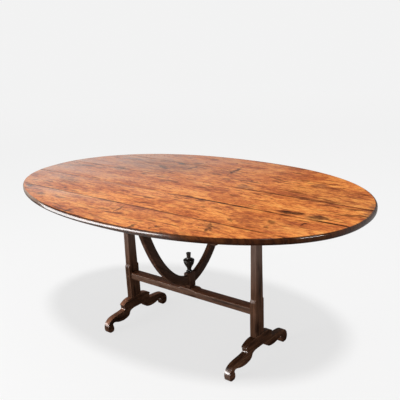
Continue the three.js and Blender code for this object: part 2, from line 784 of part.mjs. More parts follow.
// One named piece; a turned piece is the same piece half a turn round the table's middle.
function addPiece(name, geometry, finish, turned = false, group = table) {
  const mesh = new THREE.Mesh(geometry, new THREE.MeshStandardMaterial(finish));
  mesh.name = name;
  if (turned) mesh.rotation.z = Math.PI;
  group.add(mesh);
}

function addTop() {
  const oval = ovalTopSolid();
  boardEdges().forEach((board, index) => {
    const finish = { color: BOARD_COLOURS[index], roughness: 0.35, metalness: 0 };
    addPiece(`top_board_${index + 1}`, boardGeometry(oval, index), finish);
  });
  for (const [label, side] of [["left", -1], ["right", 1]]) {
    addPiece(`batten_${label}`, battenGeometry(side), finishes.batten);
    addPiece(`pivot_pin_${label}`, pivotPinGeometry(side), finishes.iron);
    screwPlaces().forEach((y, index) => {
      addPiece(`batten_screw_${label}_${index + 1}`, slottedScrew(side * BATTEN_X, y), finishes.iron);
    });
  }
}

function addBase() {
  const post = postGeometry();
  for (const [label, turned] of [["left", true], ["right", false]]) {
    addPiece(`post_${label}`, post, finishes.base, turned);
    const [front, back] = FOOT_REACHES[label];
    const foot = turned ? footGeometry(back, front) : footGeometry(front, back);
    addPiece(`foot_${label}`, foot, finishes.base, turned);
    const acrossReach = POST_BLOCK_WIDTH / 2;
    const stretcherPeg = barGeometry(
      PEG_RADIUS,
      "y",
      -acrossReach,
      acrossReach,
      stretcherPegPlace(),
      SMALL_SIDES,
    );
    addPiece(`stretcher_peg_${label}`, stretcherPeg, finishes.peg, turned);
    for (const [end, row] of [["front", -1], ["back", 1]]) {
      const turnedRow = turned ? -row : row;
      const footPeg = barGeometry(
        PEG_RADIUS,
        "x",
        POST_INNER_X,
        POST_OUTER_X,
        footPegPlace(turnedRow),
        SMALL_SIDES,
      );
      addPiece(`foot_peg_${label}_${end}`, footPeg, finishes.peg, turned);
    }
  }
  addPiece("stretcher", stretcherGeometry(), finishes.base);
}

function addHarp() {
  const arm = armGeometry();
  const pegReach = BLOCK_THICKNESS / 2;
  const peg = barGeometry(ARM_PEG_RADIUS, "x", -pegReach, pegReach, armPegPlace(), SMALL_SIDES);
  addPiece("harp_block", blockGeometry(), finishes.base, false, harp);
  for (const [label, turned] of [["front", true], ["back", false]]) {
    addPiece(`harp_arm_${label}`, arm, finishes.base, turned, harp);
    addPiece(`arm_peg_${label}`, peg, finishes.peg, turned, harp);
  }
  addPiece("finial", finialGeometry(), finishes.finial, false, harp);
}

addTop();
addBase();
addHarp();

export default table;
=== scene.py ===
"""Looks of an antique oval tilt-top tasting table.

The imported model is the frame: this script replaces its visible wooden pieces by finer ones in the
same places, gives every piece its finish, and sets up a pale studio and the camera. All lengths
are in metres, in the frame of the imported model: +X along the top's length, +Z up, and the origin
on the floor under the middle of the top.
"""

import logging
import math
from contextlib import contextmanager
from dataclasses import dataclass, replace
from enum import Enum
from functools import partial, reduce
from typing import Callable, Iterator, Mapping, Sequence, Union

import bmesh
import bpy
from mathutils import Matrix, Vector
from mathutils.geometry import interpolate_bezier


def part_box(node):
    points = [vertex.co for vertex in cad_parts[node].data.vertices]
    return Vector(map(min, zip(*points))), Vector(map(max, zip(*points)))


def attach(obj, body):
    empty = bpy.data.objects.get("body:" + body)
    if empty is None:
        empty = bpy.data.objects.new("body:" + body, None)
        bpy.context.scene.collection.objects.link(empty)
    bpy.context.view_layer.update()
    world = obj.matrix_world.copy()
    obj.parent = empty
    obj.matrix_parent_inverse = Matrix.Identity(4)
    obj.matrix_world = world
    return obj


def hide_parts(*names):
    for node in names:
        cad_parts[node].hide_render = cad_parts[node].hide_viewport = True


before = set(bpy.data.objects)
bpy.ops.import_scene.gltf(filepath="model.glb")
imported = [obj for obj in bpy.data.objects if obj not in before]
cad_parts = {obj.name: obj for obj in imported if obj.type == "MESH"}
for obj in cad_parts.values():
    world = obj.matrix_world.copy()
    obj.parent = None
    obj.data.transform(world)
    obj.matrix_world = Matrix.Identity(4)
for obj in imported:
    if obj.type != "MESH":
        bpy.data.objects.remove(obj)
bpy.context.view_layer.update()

logging.basicConfig(level=logging.INFO, format="%(message)s")
log = logging.getLogger("tasting_table")

Point = Sequence[float]
Colour = tuple[float, float, float]
Tones = Sequence[tuple[float, Colour]]
Key = Union[int, str]
MM = 0.001
SAME = 1e-6
SHARP = math.radians(30)


# Materials: sums of sockets written as Python expressions


class Signal:
    """The output of a node, which can take part in sums with other signals and numbers."""

    def __init__(self, recipe: "Recipe", socket: bpy.types.NodeSocket) -> None:
        """Wraps a socket."""
        self.recipe = recipe
        self.socket = socket

    def _sum(self, operation: str, *terms: "Term") -> "Signal":
        """Adds one Math node."""
        return self.recipe.node("ShaderNodeMath", {"operation": operation}, dict(enumerate(terms)))

    def __add__(self, other: "Term") -> "Signal":
        """This value plus another."""
        return self._sum("ADD", self, other)

    def __radd__(self, other: "Term") -> "Signal":
        """A number plus this value."""
        return self._sum("ADD", other, self)

    def __sub__(self, other: "Term") -> "Signal":
        """This value less another."""
        return self._sum("SUBTRACT", self, other)

    def __rsub__(self, other: "Term") -> "Signal":
        """A number less this value."""
        return self._sum("SUBTRACT", other, self)

    def __mul__(self, other: "Term") -> "Signal":
        """This value times another."""
        return self._sum("MULTIPLY", self, other)

    def __rmul__(self, other: "Term") -> "Signal":
        """A number times this value."""
        return self._sum("MULTIPLY", other, self)

    def __truediv__(self, other: "Term") -> "Signal":
        """This value over another."""
        return self._sum("DIVIDE", self, other)

    def __abs__(self) -> "Signal":
        """This value without its sign."""
        return self._sum("ABSOLUTE", self)

    def least(self, other: "Term") -> "Signal":
        """The lower of this value and another."""
        return self._sum("MINIMUM", self, other)

    def most(self, other: "Term") -> "Signal":
        """The higher of this value and another."""
        return self._sum("MAXIMUM", self, other)

    def rise(self, low: float, high: float, start: float = 0.0, end: float = 1.0) -> "Signal":
        """A smooth step on this value.

        Args:
            low: where the step starts.
            high: where it ends; it may be below low.
            start: the result before the step.
            end: the result after it.

        Returns:
            The stepped value.
        """
        settings = {"interpolation_type": "SMOOTHSTEP"}
        if low > high:
            low, high, start, end = high, low, end, start
        sockets = {0: self, 1: low, 2: high, 3: start, 4: end}
        return self.recipe.node("ShaderNodeMapRange", settings, sockets)


Term = Union[Signal, float]


class Recipe:
    """The node tree of one finish: a Principled shader and what feeds it."""

    def __init__(self, name: str) -> None:
        """Starts an empty material with its shader and output.

        Args:
            name: the material's name.
        """
        self.material = bpy.data.materials.new(name)
        self.material.use_nodes = True
        self.tree = self.material.node_tree
        self.tree.nodes.clear()
        self.shader = self.tree.nodes.new("ShaderNodeBsdfPrincipled")
        output = self.tree.nodes.new("ShaderNodeOutputMaterial")
        self.tree.links.new(self.shader.outputs[0], output.inputs[0])
        self.output = output
        self.place = self.node("ShaderNodeTexCoord", {}, {}, "Object")

    @staticmethod
    def _find(sockets: Sequence[bpy.types.NodeSocket], key: Key) -> bpy.types.NodeSocket:
        """Finds a socket by its number, identifier or name.

        Args:
            sockets: a node's inputs or outputs.
            key: the number, identifier or name.

        Returns:
            The socket.
        """
        if isinstance(key, int):
            return sockets[key]
        for socket in sockets:
            if socket.identifier == key:
                return socket
        return sockets[key]

    def fill(self, node: bpy.types.Node, sockets: Mapping[Key, object]) -> None:
        """Sets or links a node's inputs.

        Args:
            node: the node.
            sockets: for each input, a signal to link or a value to set.
        """
        for key, value in sockets.items():
            target = self._find(node.inputs, key)
            if isinstance(value, Signal):
                self.tree.links.new(value.socket, target)
            elif target.type == "RGBA":
                target.default_value = (*value[:3], 1.0)
            else:
                target.default_value = value

    def node(
        self,
        kind: str,
        settings: Mapping[str, object],
        sockets: Mapping[Key, object],
        output: Key = 0,
    ) -> Signal:
        """Adds any node.

        Args:
            kind: the node's type.
            settings: its settings, which are set first; stops are a ramp's colours.
            sockets: the values or links of its inputs.
            output: the output to use.

        Returns:
            The output's signal.
        """
        node = self.tree.nodes.new(kind)
        for setting, value in settings.items():
            if setting == "stops":
                self._set_stops(node.color_ramp, value)
            elif setting == "spacing":
                node.color_ramp.interpolation = value
            else:
                setattr(node, setting, value)
        self.fill(node, sockets)
        return Signal(self, self._find(node.outputs, output))

    @staticmethod
    def _set_stops(ramp: bpy.types.ColorRamp, stops: Tones) -> None:
        """Gives a ramp its colours.

        Args:
            ramp: the ramp.
            stops: each stop's place and colour.
        """
        while len(ramp.elements) > 1:
            ramp.elements.remove(ramp.elements[-1])
        for index, (place, colour) in enumerate(stops):
            element = ramp.elements[0] if index == 0 else ramp.elements.new(place)
            element.position = place
            element.color = (*colour, 1.0)

    def ramp(self, value: Signal, stops: Tones, spacing: str = "EASE") -> Signal:
        """Turns a value into a colour."""
        return self.node("ShaderNodeValToRGB", {"spacing": spacing, "stops": stops}, {0: value})

    def mix(self, share: Term, first: object, second: object) -> Signal:
        """Mixes two colours.

        Args:
            share: how much of the second one.
            first: a colour or its signal.
            second: a colour or its signal.

        Returns:
            The mixed colour.
        """
        settings = {"data_type": "RGBA", "clamp_factor": True}
        sockets = {"Factor_Float": share, "A_Color": first, "B_Color": second}
        return self.node("ShaderNodeMix", settings, sockets, "Result_Color")

    def coats(self, ground: Signal, *coats: tuple[Term, object]) -> Signal:
        """Lays colours over a ground, one after the other.

        Args:
            ground: the colour below them.
            coats: each one's share and its colour.

        Returns:
            The colour.
        """
        for share, colour in coats:
            ground = self.mix(share, ground, colour)
        return ground

    def noise(self, where: Signal, scale: float, detail: float = 3.0, rough: float = 0.55) -> Signal:
        """Fractal noise from 0 to 1."""
        sockets = {"Vector": where, "Scale": scale, "Detail": detail, "Roughness": rough}
        return self.node("ShaderNodeTexNoise", {}, sockets, 0)

    def stretch(
        self, where: Signal, sizes: Point, turn: Point = (0, 0, 0), shift: Point = (0, 0, 0)
    ) -> Signal:
        """Turns coordinates and divides them by sizes, so that a pattern gets those sizes.

        Args:
            where: the coordinates.
            sizes: how long the pattern's unit is along each turned axis.
            turn: the pattern's turn in degrees.
            shift: where the pattern's middle is.

        Returns:
            The new coordinates.
        """
        rotation = [math.radians(angle) for angle in turn]
        sockets = {"Vector": where, "Location": shift, "Rotation": rotation, "Scale": sizes}
        return self.node("ShaderNodeMapping", {"vector_type": "TEXTURE"}, sockets)

    def pattern(
        self,
        where: Signal,
        sizes: Point,
        detail: float,
        rough: float = 0.55,
        turn: Point = (0, 0, 0),
        shift: Point = (0, 0, 0),
    ) -> Signal:
        """Fractal noise whose lumps have given sizes."""
        return self.noise(self.stretch(where, sizes, turn, shift), 1.0, detail, rough)

    def vector(self, operation: str, *terms: object, output: Key = "Vector") -> Signal:
        """Adds one Vector Math node.

        Args:
            operation: the node's operation.
            terms: its inputs, in order; a scale goes in as a mapping of Scale.
            output: the output to use.

        Returns:
            The node's signal.
        """
        sockets: dict = {}
        for index, term in enumerate(terms):
            sockets.update(term if isinstance(term, dict) else {index: term})
        return self.node("ShaderNodeVectorMath", {"operation": operation}, sockets, output)

    def axis(self, where: Signal, name: str) -> Signal:
        """One coordinate of a vector."""
        return self.node("ShaderNodeSeparateXYZ", {}, {0: where}, name)

    def normal_axis(self, name: str) -> Signal:
        """One coordinate of the surface's own normal, before any bump."""
        return self.axis(self.node("ShaderNodeNewGeometry", {}, {}, "Normal"), name)

    def arris(self, reach: float) -> Signal:
        """How near the surface is to a sharp edge.

        Args:
            reach: how far from the edge it still counts, in metres.

        Returns:
            0 on flat faces, rising to about 0.3 on the edge itself.
        """
        rounded = self.node("ShaderNodeBevel", {"samples": 6}, {"Radius": reach})
        true = self.node("ShaderNodeNewGeometry", {}, {}, "Normal")
        return 1 - self.vector("DOT_PRODUCT", rounded, true, output="Value")

    def bump(self, height: Signal, depth: float, strength: float = 1.0) -> Signal:
        """A relief for the shader's normal."""
        sockets = {"Height": height, "Distance": depth, "Strength": strength}
        return self.node("ShaderNodeBump", {}, sockets)

    def dress(self, constants: Mapping[str, object], **varying: Signal) -> bpy.types.Material:
        """Feeds the shader.

        Args:
            constants: values set on the shader's own sockets.
            varying: signals for sockets, with underscores for the spaces in their names.

        Returns:
            The finished material.
        """
        self.fill(self.shader, constants)
        self.fill(self.shader, {key.replace("_", " "): signal for key, signal in varying.items()})
        return self.material


# Wax shines as a coat over the wood, which itself is dull
WAXED = {"Specular IOR Level": 0.0, "Coat IOR": 1.5}


class GrainWay(Enum):
    """Which way a piece's grain runs, as the turn that lays a pattern's X along it."""

    ALONG_X = (0.0, 0.0, 0.0)
    ALONG_Y = (0.0, 0.0, 90.0)
    ALONG_Z = (0.0, 90.0, 0.0)
    FRONT_ARM = (0.0, 35.0, 92.6)
    BACK_ARM = (0.0, -35.0, 92.6)


@dataclass(frozen=True)
class DarkWood:
    """Old dark brown wood, waxed.

    wear says how strongly its arrises are rubbed lighter, polish how it shines all over, rubbed
    how its outer faces shine from handling, faded how strongly its upper part is painted greyer
    and paler as a painted sheen, and lit how strongly the faces that look up are painted lighter
    and warmer as painted light.
    """

    way: GrainWay
    seed: float = 0.0
    deep: Colour = (0.026, 0.0105, 0.0055)
    body: Colour = (0.080, 0.034, 0.0175)
    light: Colour = (0.165, 0.080, 0.044)
    worn: Colour = (0.34, 0.19, 0.125)
    sheen_grey: Colour = (0.150, 0.098, 0.078)
    lit_colour: Colour = (0.30, 0.125, 0.065)
    wear: float = 0.5
    roughness: float = 0.42
    polish: float = 0.08
    rubbed: float = 0.0
    upper_sheen: float = 0.0
    lit: float = 0.0
    band_size: Point = (0.30, 0.012, 0.012)
    fibre_size: Point = (0.05, 0.0016, 0.0016)
    cloud_size: Point = (0.12, 0.06, 0.06)
    patch_scale: float = 38.0
    arris_reach: float = 4.5 * MM
    relief_depth: float = 0.5 * MM
    wax_roughness: float = 0.26

    def make(self, name: str) -> bpy.types.Material:
        """Builds the material.

        Args:
            name: the material's name.

        Returns:
            The material.
        """
        recipe = Recipe(name)
        place, turn = recipe.place, self.way.value
        shift = (self.seed, self.seed * 0.7, self.seed * 1.3)
        bands = recipe.pattern(place, self.band_size, 4.0, 0.6, turn, shift)
        fibres = recipe.pattern(place, self.fibre_size, 3.0, 0.6, turn, shift)
        clouds = recipe.pattern(place, self.cloud_size, 2.0, 0.55, turn, shift)
        patch = recipe.noise(place, self.patch_scale, 2.0)

        tone = bands * 0.75 + fibres * 0.25 + clouds * 0.55 - 0.275
        wood = recipe.ramp(tone, [(0.34, self.deep), (0.50, self.body), (0.72, self.light)])
        worn = recipe.arris(self.arris_reach).rise(0.02, 0.22) * patch.rise(0.36, 0.62) * self.wear
        pores = fibres.rise(0.46, 0.34) * 0.55
        # Painted sheen: from about 0.28 m up the colour turns greyer and paler, standing in for light
        # reflected on the upper faces.
        high = recipe.axis(place, "Z").rise(0.28, 0.55)
        upper_sheen = high * clouds.rise(0.30, 0.60, 0.6, 1.0) * self.upper_sheen
        # Painted light: faces that look up are painted lighter and warmer with lit_colour, in patches.
        upward = recipe.normal_axis("Z").rise(0.30, 0.70)
        lit = upward * patch.rise(0.30, 0.60, 0.55, 1.0) * self.lit
        wood = recipe.coats(
            wood, (worn, self.worn), (pores, self.deep), (upper_sheen, self.sheen_grey), (lit, self.lit_colour)
        )

        outward = recipe.axis(place, "Y").rise(-0.01, 0.01, -1.0, 1.0) * recipe.normal_axis("Y")
        handled = outward.rise(0.25, 0.70) * self.rubbed * patch.rise(0.30, 0.60, 0.6, 1.0)
        rough = clouds * 0.30 + fibres * 0.16 + (self.roughness - 0.20) - worn * 0.10
        return recipe.dress(
            WAXED | {"Coat Roughness": self.wax_roughness},
            Base_Color=wood,
            Roughness=rough,
            Coat_Weight=handled + self.polish,
            Normal=recipe.bump(fibres * 0.5 + bands * 0.8, self.relief_depth, 0.6),
        )


@dataclass(frozen=True)
class Mark:
    """A knot, smudge or bright patch on the top: its place, half sizes, turn and strength."""

    x: float
    y: float
    reach_x: float
    reach_y: float
    turn: float
    strength: float

    @staticmethod
    def rows(*rows: tuple[float, ...]) -> tuple["Mark", ...]:
        """One mark for each row of its six numbers."""
        return tuple(Mark(*row) for row in rows)


@dataclass(frozen=True)
class TopWood:
    """The top's old waxed boards: orange brown with dark streaks, knots and stains."""

    seams: tuple[float, ...]
    height: float
    underside: float
    wood_tones: Tones = (
        (0.16, (0.290, 0.078, 0.034)),
        (0.36, (0.540, 0.155, 0.048)),
        (0.56, (0.800, 0.255, 0.068)),
        (0.78, (0.950, 0.370, 0.095)),
        (1.00, (0.970, 0.460, 0.140)),
    )
    rim_tones: Tones = ((0.35, (0.030, 0.0095, 0.0035)), (0.65, (0.100, 0.031, 0.011)))
    raw_tones: Tones = ((0.35, (0.070, 0.036, 0.022)), (0.65, (0.160, 0.090, 0.058)))
    red: Colour = (0.44, 0.095, 0.034)
    sheen_grey: Colour = (0.330, 0.130, 0.066)
    stain: Colour = (0.150, 0.076, 0.052)
    line_shade: Colour = (0.120, 0.034, 0.015)
    fibre_shade: Colour = (0.12, 0.036, 0.017)
    knot_shade: Colour = (0.034, 0.016, 0.012)
    dirt_shade: Colour = (0.045, 0.018, 0.010)
    dot_shade: Colour = (0.05, 0.020, 0.012)
    rim_highlight: Colour = (0.36, 0.27, 0.215)
    rim_shade: Colour = (0.0045, 0.0022, 0.0018)
    swirl_size: Point = (0.40, 0.10, 0.2)
    swirl_reach: float = 0.060
    broad_size: Point = (0.50, 0.045, 0.2)
    streak_size: Point = (0.09, 0.0125, 0.1)
    fibre_size: Point = (0.05, 0.0018, 0.05)
    line_size: Point = (0.22, 0.017, 0.1)
    hatch_size: Point = (0.022, 0.010, 0.1)
    patch_size: Point = (0.20, 0.09, 0.2)
    sparse_size: Point = (0.24, 0.12, 0.2)
    relief_depth: float = 0.45 * MM
    wax_roughness: float = 0.13
    board_shifts: tuple[Point, ...] = (
        (0.10, 0.30, 0.9), (0.75, 0.05, 0.4), (0.35, 0.62, 0.1), (0.90, 0.40, 0.6), (0.55, 0.85, 0.3),
    )
    seam_runs: tuple[Point, ...] = (
        (0.80, 9.0 * MM, -0.60), (1.0, 13.5 * MM, 0.08), (0.90, 9.9 * MM, 0.20), (0.35, 6.3 * MM, -0.80),
    )
    knots: tuple[Mark, ...] = Mark.rows(
        (0.580, -0.082, 0.052, 0.017, 3, 1.0), (0.696, -0.087, 0.036, 0.024, 8, 0.75),
        (0.425, -0.390, 0.034, 0.008, 100, 0.8), (0.416, -0.367, 0.047, 0.007, -46, 0.7),
        (0.040, 0.322, 0.079, 0.009, 96, 0.85), (-0.007, 0.233, 0.045, 0.012, -7, 0.6),
        (0.095, 0.186, 0.029, 0.009, -17, 0.65), (0.403, 0.332, 0.021, 0.007, -1, 0.7),
        (0.571, -0.212, 0.023, 0.012, -14, 0.75), (0.589, -0.265, 0.011, 0.007, 61, 0.7),
        (0.686, -0.172, 0.006, 0.007, -7, 1.0), (-0.318, 0.222, 0.050, 0.014, -23, 0.8),
        (-0.278, 0.199, 0.022, 0.010, 54, 0.7), (-0.263, 0.307, 0.039, 0.010, -22, 0.8),
        (-0.173, 0.273, 0.028, 0.011, 88, 0.75), (-0.308, 0.071, 0.022, 0.010, -8, 0.75),
        (-0.199, 0.071, 0.036, 0.008, 8, 0.6), (-0.468, 0.101, 0.033, 0.010, 2, 0.6),
        (-0.635, -0.346, 0.032, 0.014, -22, 0.75), (-0.485, -0.398, 0.027, 0.014, -5, 0.75),
        (-0.461, -0.281, 0.010, 0.006, 1, 0.8), (-0.193, -0.496, 0.017, 0.009, 82, 0.85),
        (-0.027, -0.381, 0.049, 0.005, 99, 0.75), (0.162, -0.510, 0.028, 0.009, 93, 0.85),
        (0.231, -0.495, 0.007, 0.008, -7, 0.9), (0.246, -0.467, 0.018, 0.006, 17, 0.8),
        (0.227, -0.200, 0.033, 0.007, 17, 0.75), (0.432, -0.274, 0.011, 0.006, -19, 0.8),
        (0.422, 0.027, 0.008, 0.006, -16, 0.85), (0.205, 0.216, 0.008, 0.007, -11, 0.7),
    )
    # The rows at (-0.34, 0.24), (0.62, 0.17) and (0.56, -0.24) are broad, faint patches that darken wide
    # areas of the top.
    smudges: tuple[Mark, ...] = Mark.rows(
        (0.235, 0.126, 0.047, 0.026, -5, 0.8), (0.494, 0.287, 0.039, 0.028, -22, 0.65),
        (-0.250, 0.248, 0.125, 0.035, 1, 0.6), (-0.761, 0.021, 0.126, 0.022, 17, 0.7),
        (-0.559, -0.174, 0.105, 0.025, -13, 0.55), (-0.478, 0.090, 0.061, 0.014, 0, 0.65),
        (0.692, -0.086, 0.049, 0.030, 4, 0.5), (0.426, -0.365, 0.035, 0.040, 14, 0.35),
        (0.540, 0.099, 0.083, 0.018, 1, 0.5), (-0.199, 0.331, 0.048, 0.020, -10, 0.6),
        (0.007, 0.282, 0.096, 0.025, 7, 0.35), (-0.340, 0.240, 0.250, 0.120, 5, 0.50),
        (0.620, 0.170, 0.240, 0.110, -5, 0.26), (0.825, 0.090, 0.025, 0.110, 12, 0.80),
        (0.560, -0.240, 0.200, 0.060, 4, 0.22),
    )
    # The last three rows are broad patches that lighten wide areas towards the front.
    golds: tuple[Mark, ...] = Mark.rows(
        (-0.382, -0.284, 0.054, 0.016, 4, 0.8), (-0.068, -0.240, 0.098, 0.022, 4, 0.8),
        (0.071, -0.084, 0.099, 0.026, -1, 0.75), (0.206, -0.030, 0.133, 0.026, -3, 0.6),
        (0.438, -0.046, 0.102, 0.030, 4, 0.7), (0.612, -0.009, 0.073, 0.026, 0, 0.65),
        (0.238, -0.524, 0.060, 0.014, 21, 0.8), (-0.080, -0.502, 0.079, 0.022, 8, 0.5),
        (0.666, -0.240, 0.053, 0.016, 11, 0.85), (0.784, -0.222, 0.035, 0.016, 11, 0.8),
        (0.769, 0.057, 0.083, 0.040, -16, 0.5), (0.555, -0.323, 0.078, 0.024, 8, 0.55),
        (-0.160, -0.359, 0.057, 0.018, 2, 0.6), (0.143, -0.332, 0.093, 0.022, 7, 0.45),
        (-0.300, -0.370, 0.240, 0.110, 0, 0.55), (0.020, -0.420, 0.220, 0.080, 0, 0.45),
        (0.020, -0.130, 0.240, 0.100, 0, 0.35),
    )

    def make(self, name: str) -> bpy.types.Material:
        """Builds the material.

        Args:
            name: the material's name.

        Returns:
            The material.
        """
        recipe = Recipe(name)
        x, y, z = (recipe.axis(recipe.place, axis) for axis in "XYZ")
        where = recipe.vector("ADD", recipe.place, self._board_shift(recipe, y))
        swirl = recipe.pattern(where, self.swirl_size, 2.0) * self.swirl_reach
        bent = recipe.node("ShaderNodeCombineXYZ", {}, {0: x, 1: swirl, 2: 0.0})
        flow = recipe.vector("ADD", where, bent)
        broad = recipe.pattern(flow, self.broad_size, 3.0, 0.6)
        streaks = recipe.pattern(flow, self.streak_size, 5.0, 0.75)
        fibres = recipe.pattern(flow, self.fibre_size, 3.0, 0.6)
        lines = recipe.pattern(flow, self.line_size, 2.0, 0.6, shift=(3.1, 1.7, 0))
        hatch = recipe.pattern(where, self.hatch_size, 3.0, 0.65)
        patches = recipe.pattern(where, self.patch_size, 3.0, 0.6)
        sparse = recipe.pattern(where, self.sparse_size, 2.0, shift=(5.0, 2.0, 0))

        tone = (
            broad.rise(0.30, 0.70) * 0.18
            + streaks.rise(0.36, 0.64) * 0.40
            + hatch.rise(0.34, 0.66) * 0.26
            + patches.rise(0.30, 0.70) * 0.18
            + self._marks(recipe, self.golds, 0.012) * 0.16
        )
        # Painted sheen: the far left is painted greyer in the colour itself (greyed), adding to the
        # reflection that the wax coat gives there.
        grey = (y * 1.3 - x + 0.10).most(0.0) * patches.rise(0.34, 0.62, 0.45, 1.0)
        smudge = self._marks(recipe, self.smudges, 0.026)
        knot = self._marks(recipe, self.knots, 0.014) * streaks.rise(0.34, 0.66, 1.0, 0.70)
        dirt = self._seam_dirt(recipe, x, y)
        grid = recipe.stretch(where, (1, 0.55, 1))
        specks = recipe.node("ShaderNodeTexVoronoi", {"feature": "F1"}, {"Vector": grid, "Scale": 26.0})
        dots = specks.rise(0.15, 0.08) * sparse.rise(0.46, 0.60)
        wood = recipe.coats(
            recipe.ramp(tone, self.wood_tones),
            (patches.rise(0.56, 0.38) * 0.35, self.red),
            (grey.least(1.0) * 0.62, self.sheen_grey),
            (smudge * streaks.rise(0.34, 0.62, 0.95, 0.45), self.stain),
            (lines.rise(0.43, 0.36) * sparse.rise(0.34, 0.58, 0.20, 0.75), self.line_shade),
            (fibres.rise(0.44, 0.30) * 0.40, self.fibre_shade),
            (knot, self.knot_shade),
            (dirt, self.dirt_shade),
            (dots * 0.85, self.dot_shade),
        )

        rim = z.rise(self.height - 0.5 * MM, self.height - 2.6 * MM)
        far_rim = z.rise(self.height - 0.05 * MM, self.height - 0.5 * MM) * y.rise(-0.05, 0.10)
        rim = rim.most(far_rim)
        # Painted shade: the rim is painted darker towards its underside (low) and over its right part, with
        # rim_shade.
        low = z.rise(self.height - 4.0 * MM, self.underside + 6.0 * MM)
        # Painted highlight: the rim's left end is painted pale pinkish grey (rim_highlight).
        edge = recipe.coats(
            recipe.ramp(streaks, self.rim_tones),
            (x.rise(-0.28, -0.55) * 0.8, self.rim_highlight),
            ((low * 0.90).most(x.rise(0.42, 0.56, 0.0, 0.62)), self.rim_shade),
        )
        below = recipe.normal_axis("Z").rise(-0.75, -0.95)
        colour = recipe.coats(wood, (rim * 0.97, edge), (below, recipe.ramp(broad, self.raw_tones)))

        rough = patches * 0.26 + fibres * 0.14 + 0.20
        rough = rough + knot * 0.10 + dirt * 0.30 + below * 0.3 - rim * 0.06
        relief = fibres * 0.4 + streaks * 0.7 - dirt * 0.8 - dots * 0.3
        bloom = (y * -0.08 - x * 0.70 + 0.34).most(0.0) * patches.rise(0.30, 0.70, 0.80, 1.10)
        near_rub = x.rise(-0.45, 0.20, 0.20, 0.66) * x.rise(0.29, 0.42, 1.0, 0.07)
        end_rub = x.rise(0.79, 0.85, 0.15, 0.6) * x.rise(0.70, 0.75)
        wax = bloom * (1 - rim) * (1 - dots) + rim * near_rub.most(end_rub)
        return recipe.dress(
            WAXED | {"Coat Roughness": self.wax_roughness},
            Base_Color=colour,
            Roughness=rough,
            Coat_Weight=wax.least(1.0),
            Normal=recipe.bump(relief, self.relief_depth, 0.55),
        )

    def _board_shift(self, recipe: Recipe, y: Signal) -> Signal:
        """Shifts the pattern by board, so that no streak runs on over a seam.

        Args:
            recipe: the finish.
            y: the place across the top.

        Returns:
            The shift as a vector.
        """
        shares = [0.0] + [(seam + 1.0) / 2.0 for seam in self.seams]
        step = recipe.ramp((y + 1.0) * 0.5, list(zip(shares, self.board_shifts)), "CONSTANT")
        return recipe.vector("SCALE", step, {"Scale": 9.0})

    @staticmethod
    def _marks(recipe: Recipe, marks: Sequence[Mark], ragged: float) -> Signal:
        """All marks of one sort in one mask.

        Args:
            recipe: the finish.
            marks: the marks.
            ragged: how far their outlines wander.

        Returns:
            The mask, from 0 to 1.
        """
        grid = recipe.stretch(recipe.place, (2.2, 0.8, 1.0))
        colour = {"Vector": grid, "Scale": 38.0, "Detail": 3.0}
        wander = recipe.node("ShaderNodeTexNoise", {}, colour, "Color")
        spread = ((ragged * 3.4,) * 3, (ragged * -1.7,) * 3)
        ragged_place = recipe.vector("ADD", recipe.place, recipe.vector("MULTIPLY_ADD", wander, *spread))
        spots = []
        for mark in marks:
            sizes = (mark.reach_x, mark.reach_y, 1000.0)
            local = recipe.stretch(ragged_place, sizes, (0, 0, mark.turn), (mark.x, mark.y, 0.0))
            far = recipe.vector("LENGTH", local, output="Value")
            spots.append(far.rise(1.35, 0.60, 0.0, mark.strength))
        return reduce(Signal.most, spots)

    def _seam_dirt(self, recipe: Recipe, x: Signal, y: Signal) -> Signal:
        """Dark dirt in the seams, by each one's strength, width and where it starts to be strong.

        Args:
            recipe: the finish.
            x: the place along the top.
            y: the place across the top.

        Returns:
            The dirt, from 0 to 1.
        """
        runs = recipe.pattern(recipe.place, (0.12, 0.30, 1.0), 3.0)
        lines = []
        for seam, (strength, width, start) in zip(self.seams, self.seam_runs):
            spread = runs * width - 0.8 * MM
            line = (abs(y - seam) / spread.most(0.5 * MM)).rise(1.4, 0.5, 0.0, strength)
            lines.append(line * x.rise(start - 0.1, start + 0.1, 0.30, 1.0))
        return reduce(Signal.most, lines) * runs.rise(0.32, 0.50, 0.45, 1.0)


@dataclass(frozen=True)
class DullIron:
    """Old forged iron, brown in its hollows."""

    def make(self, name: str) -> bpy.types.Material:
        """Builds the material.

        Args:
            name: the material's name.

        Returns:
            The material.
        """
        recipe = Recipe(name)
        lumps = recipe.noise(recipe.place, 240.0, 4.0)
        rust = recipe.noise(recipe.place, 90.0, 3.0)
        colour = recipe.ramp(lumps, [(0.3, (0.035, 0.030, 0.027)), (0.7, (0.11, 0.10, 0.095))])
        colour = recipe.mix(rust.rise(0.5, 0.7) * 0.7, colour, (0.10, 0.035, 0.014))
        metal = rust.rise(0.70, 0.48, 0.25, 0.9)
        return recipe.dress(
            {},
            Base_Color=colour,
            Metallic=metal,
            Roughness=lumps * 0.4 + 0.35,
            Normal=recipe.bump(lumps, 0.3 * MM),
        )


# Modelling: one workpiece at a time, by the usual mesh operators


def lies_at(part: Union[bmesh.types.BMEdge, bmesh.types.BMFace], axis: int, place: float) -> bool:
    """Whether an edge or face lies in a plane across one axis."""
    return all(abs(vertex.co[axis] - place) < SAME for vertex in part.verts)


def lies_on_all(places: Mapping[int, float], part: bmesh.types.BMEdge) -> bool:
    """Whether an edge lies in one plane across each of some axes."""
    return all(lies_at(part, axis, place) for axis, place in places.items())


def is_sharp(edge: bmesh.types.BMEdge) -> bool:
    """Whether the faces on both sides of an edge meet at a clear angle."""
    return edge.calc_face_angle(0.0) > SHARP


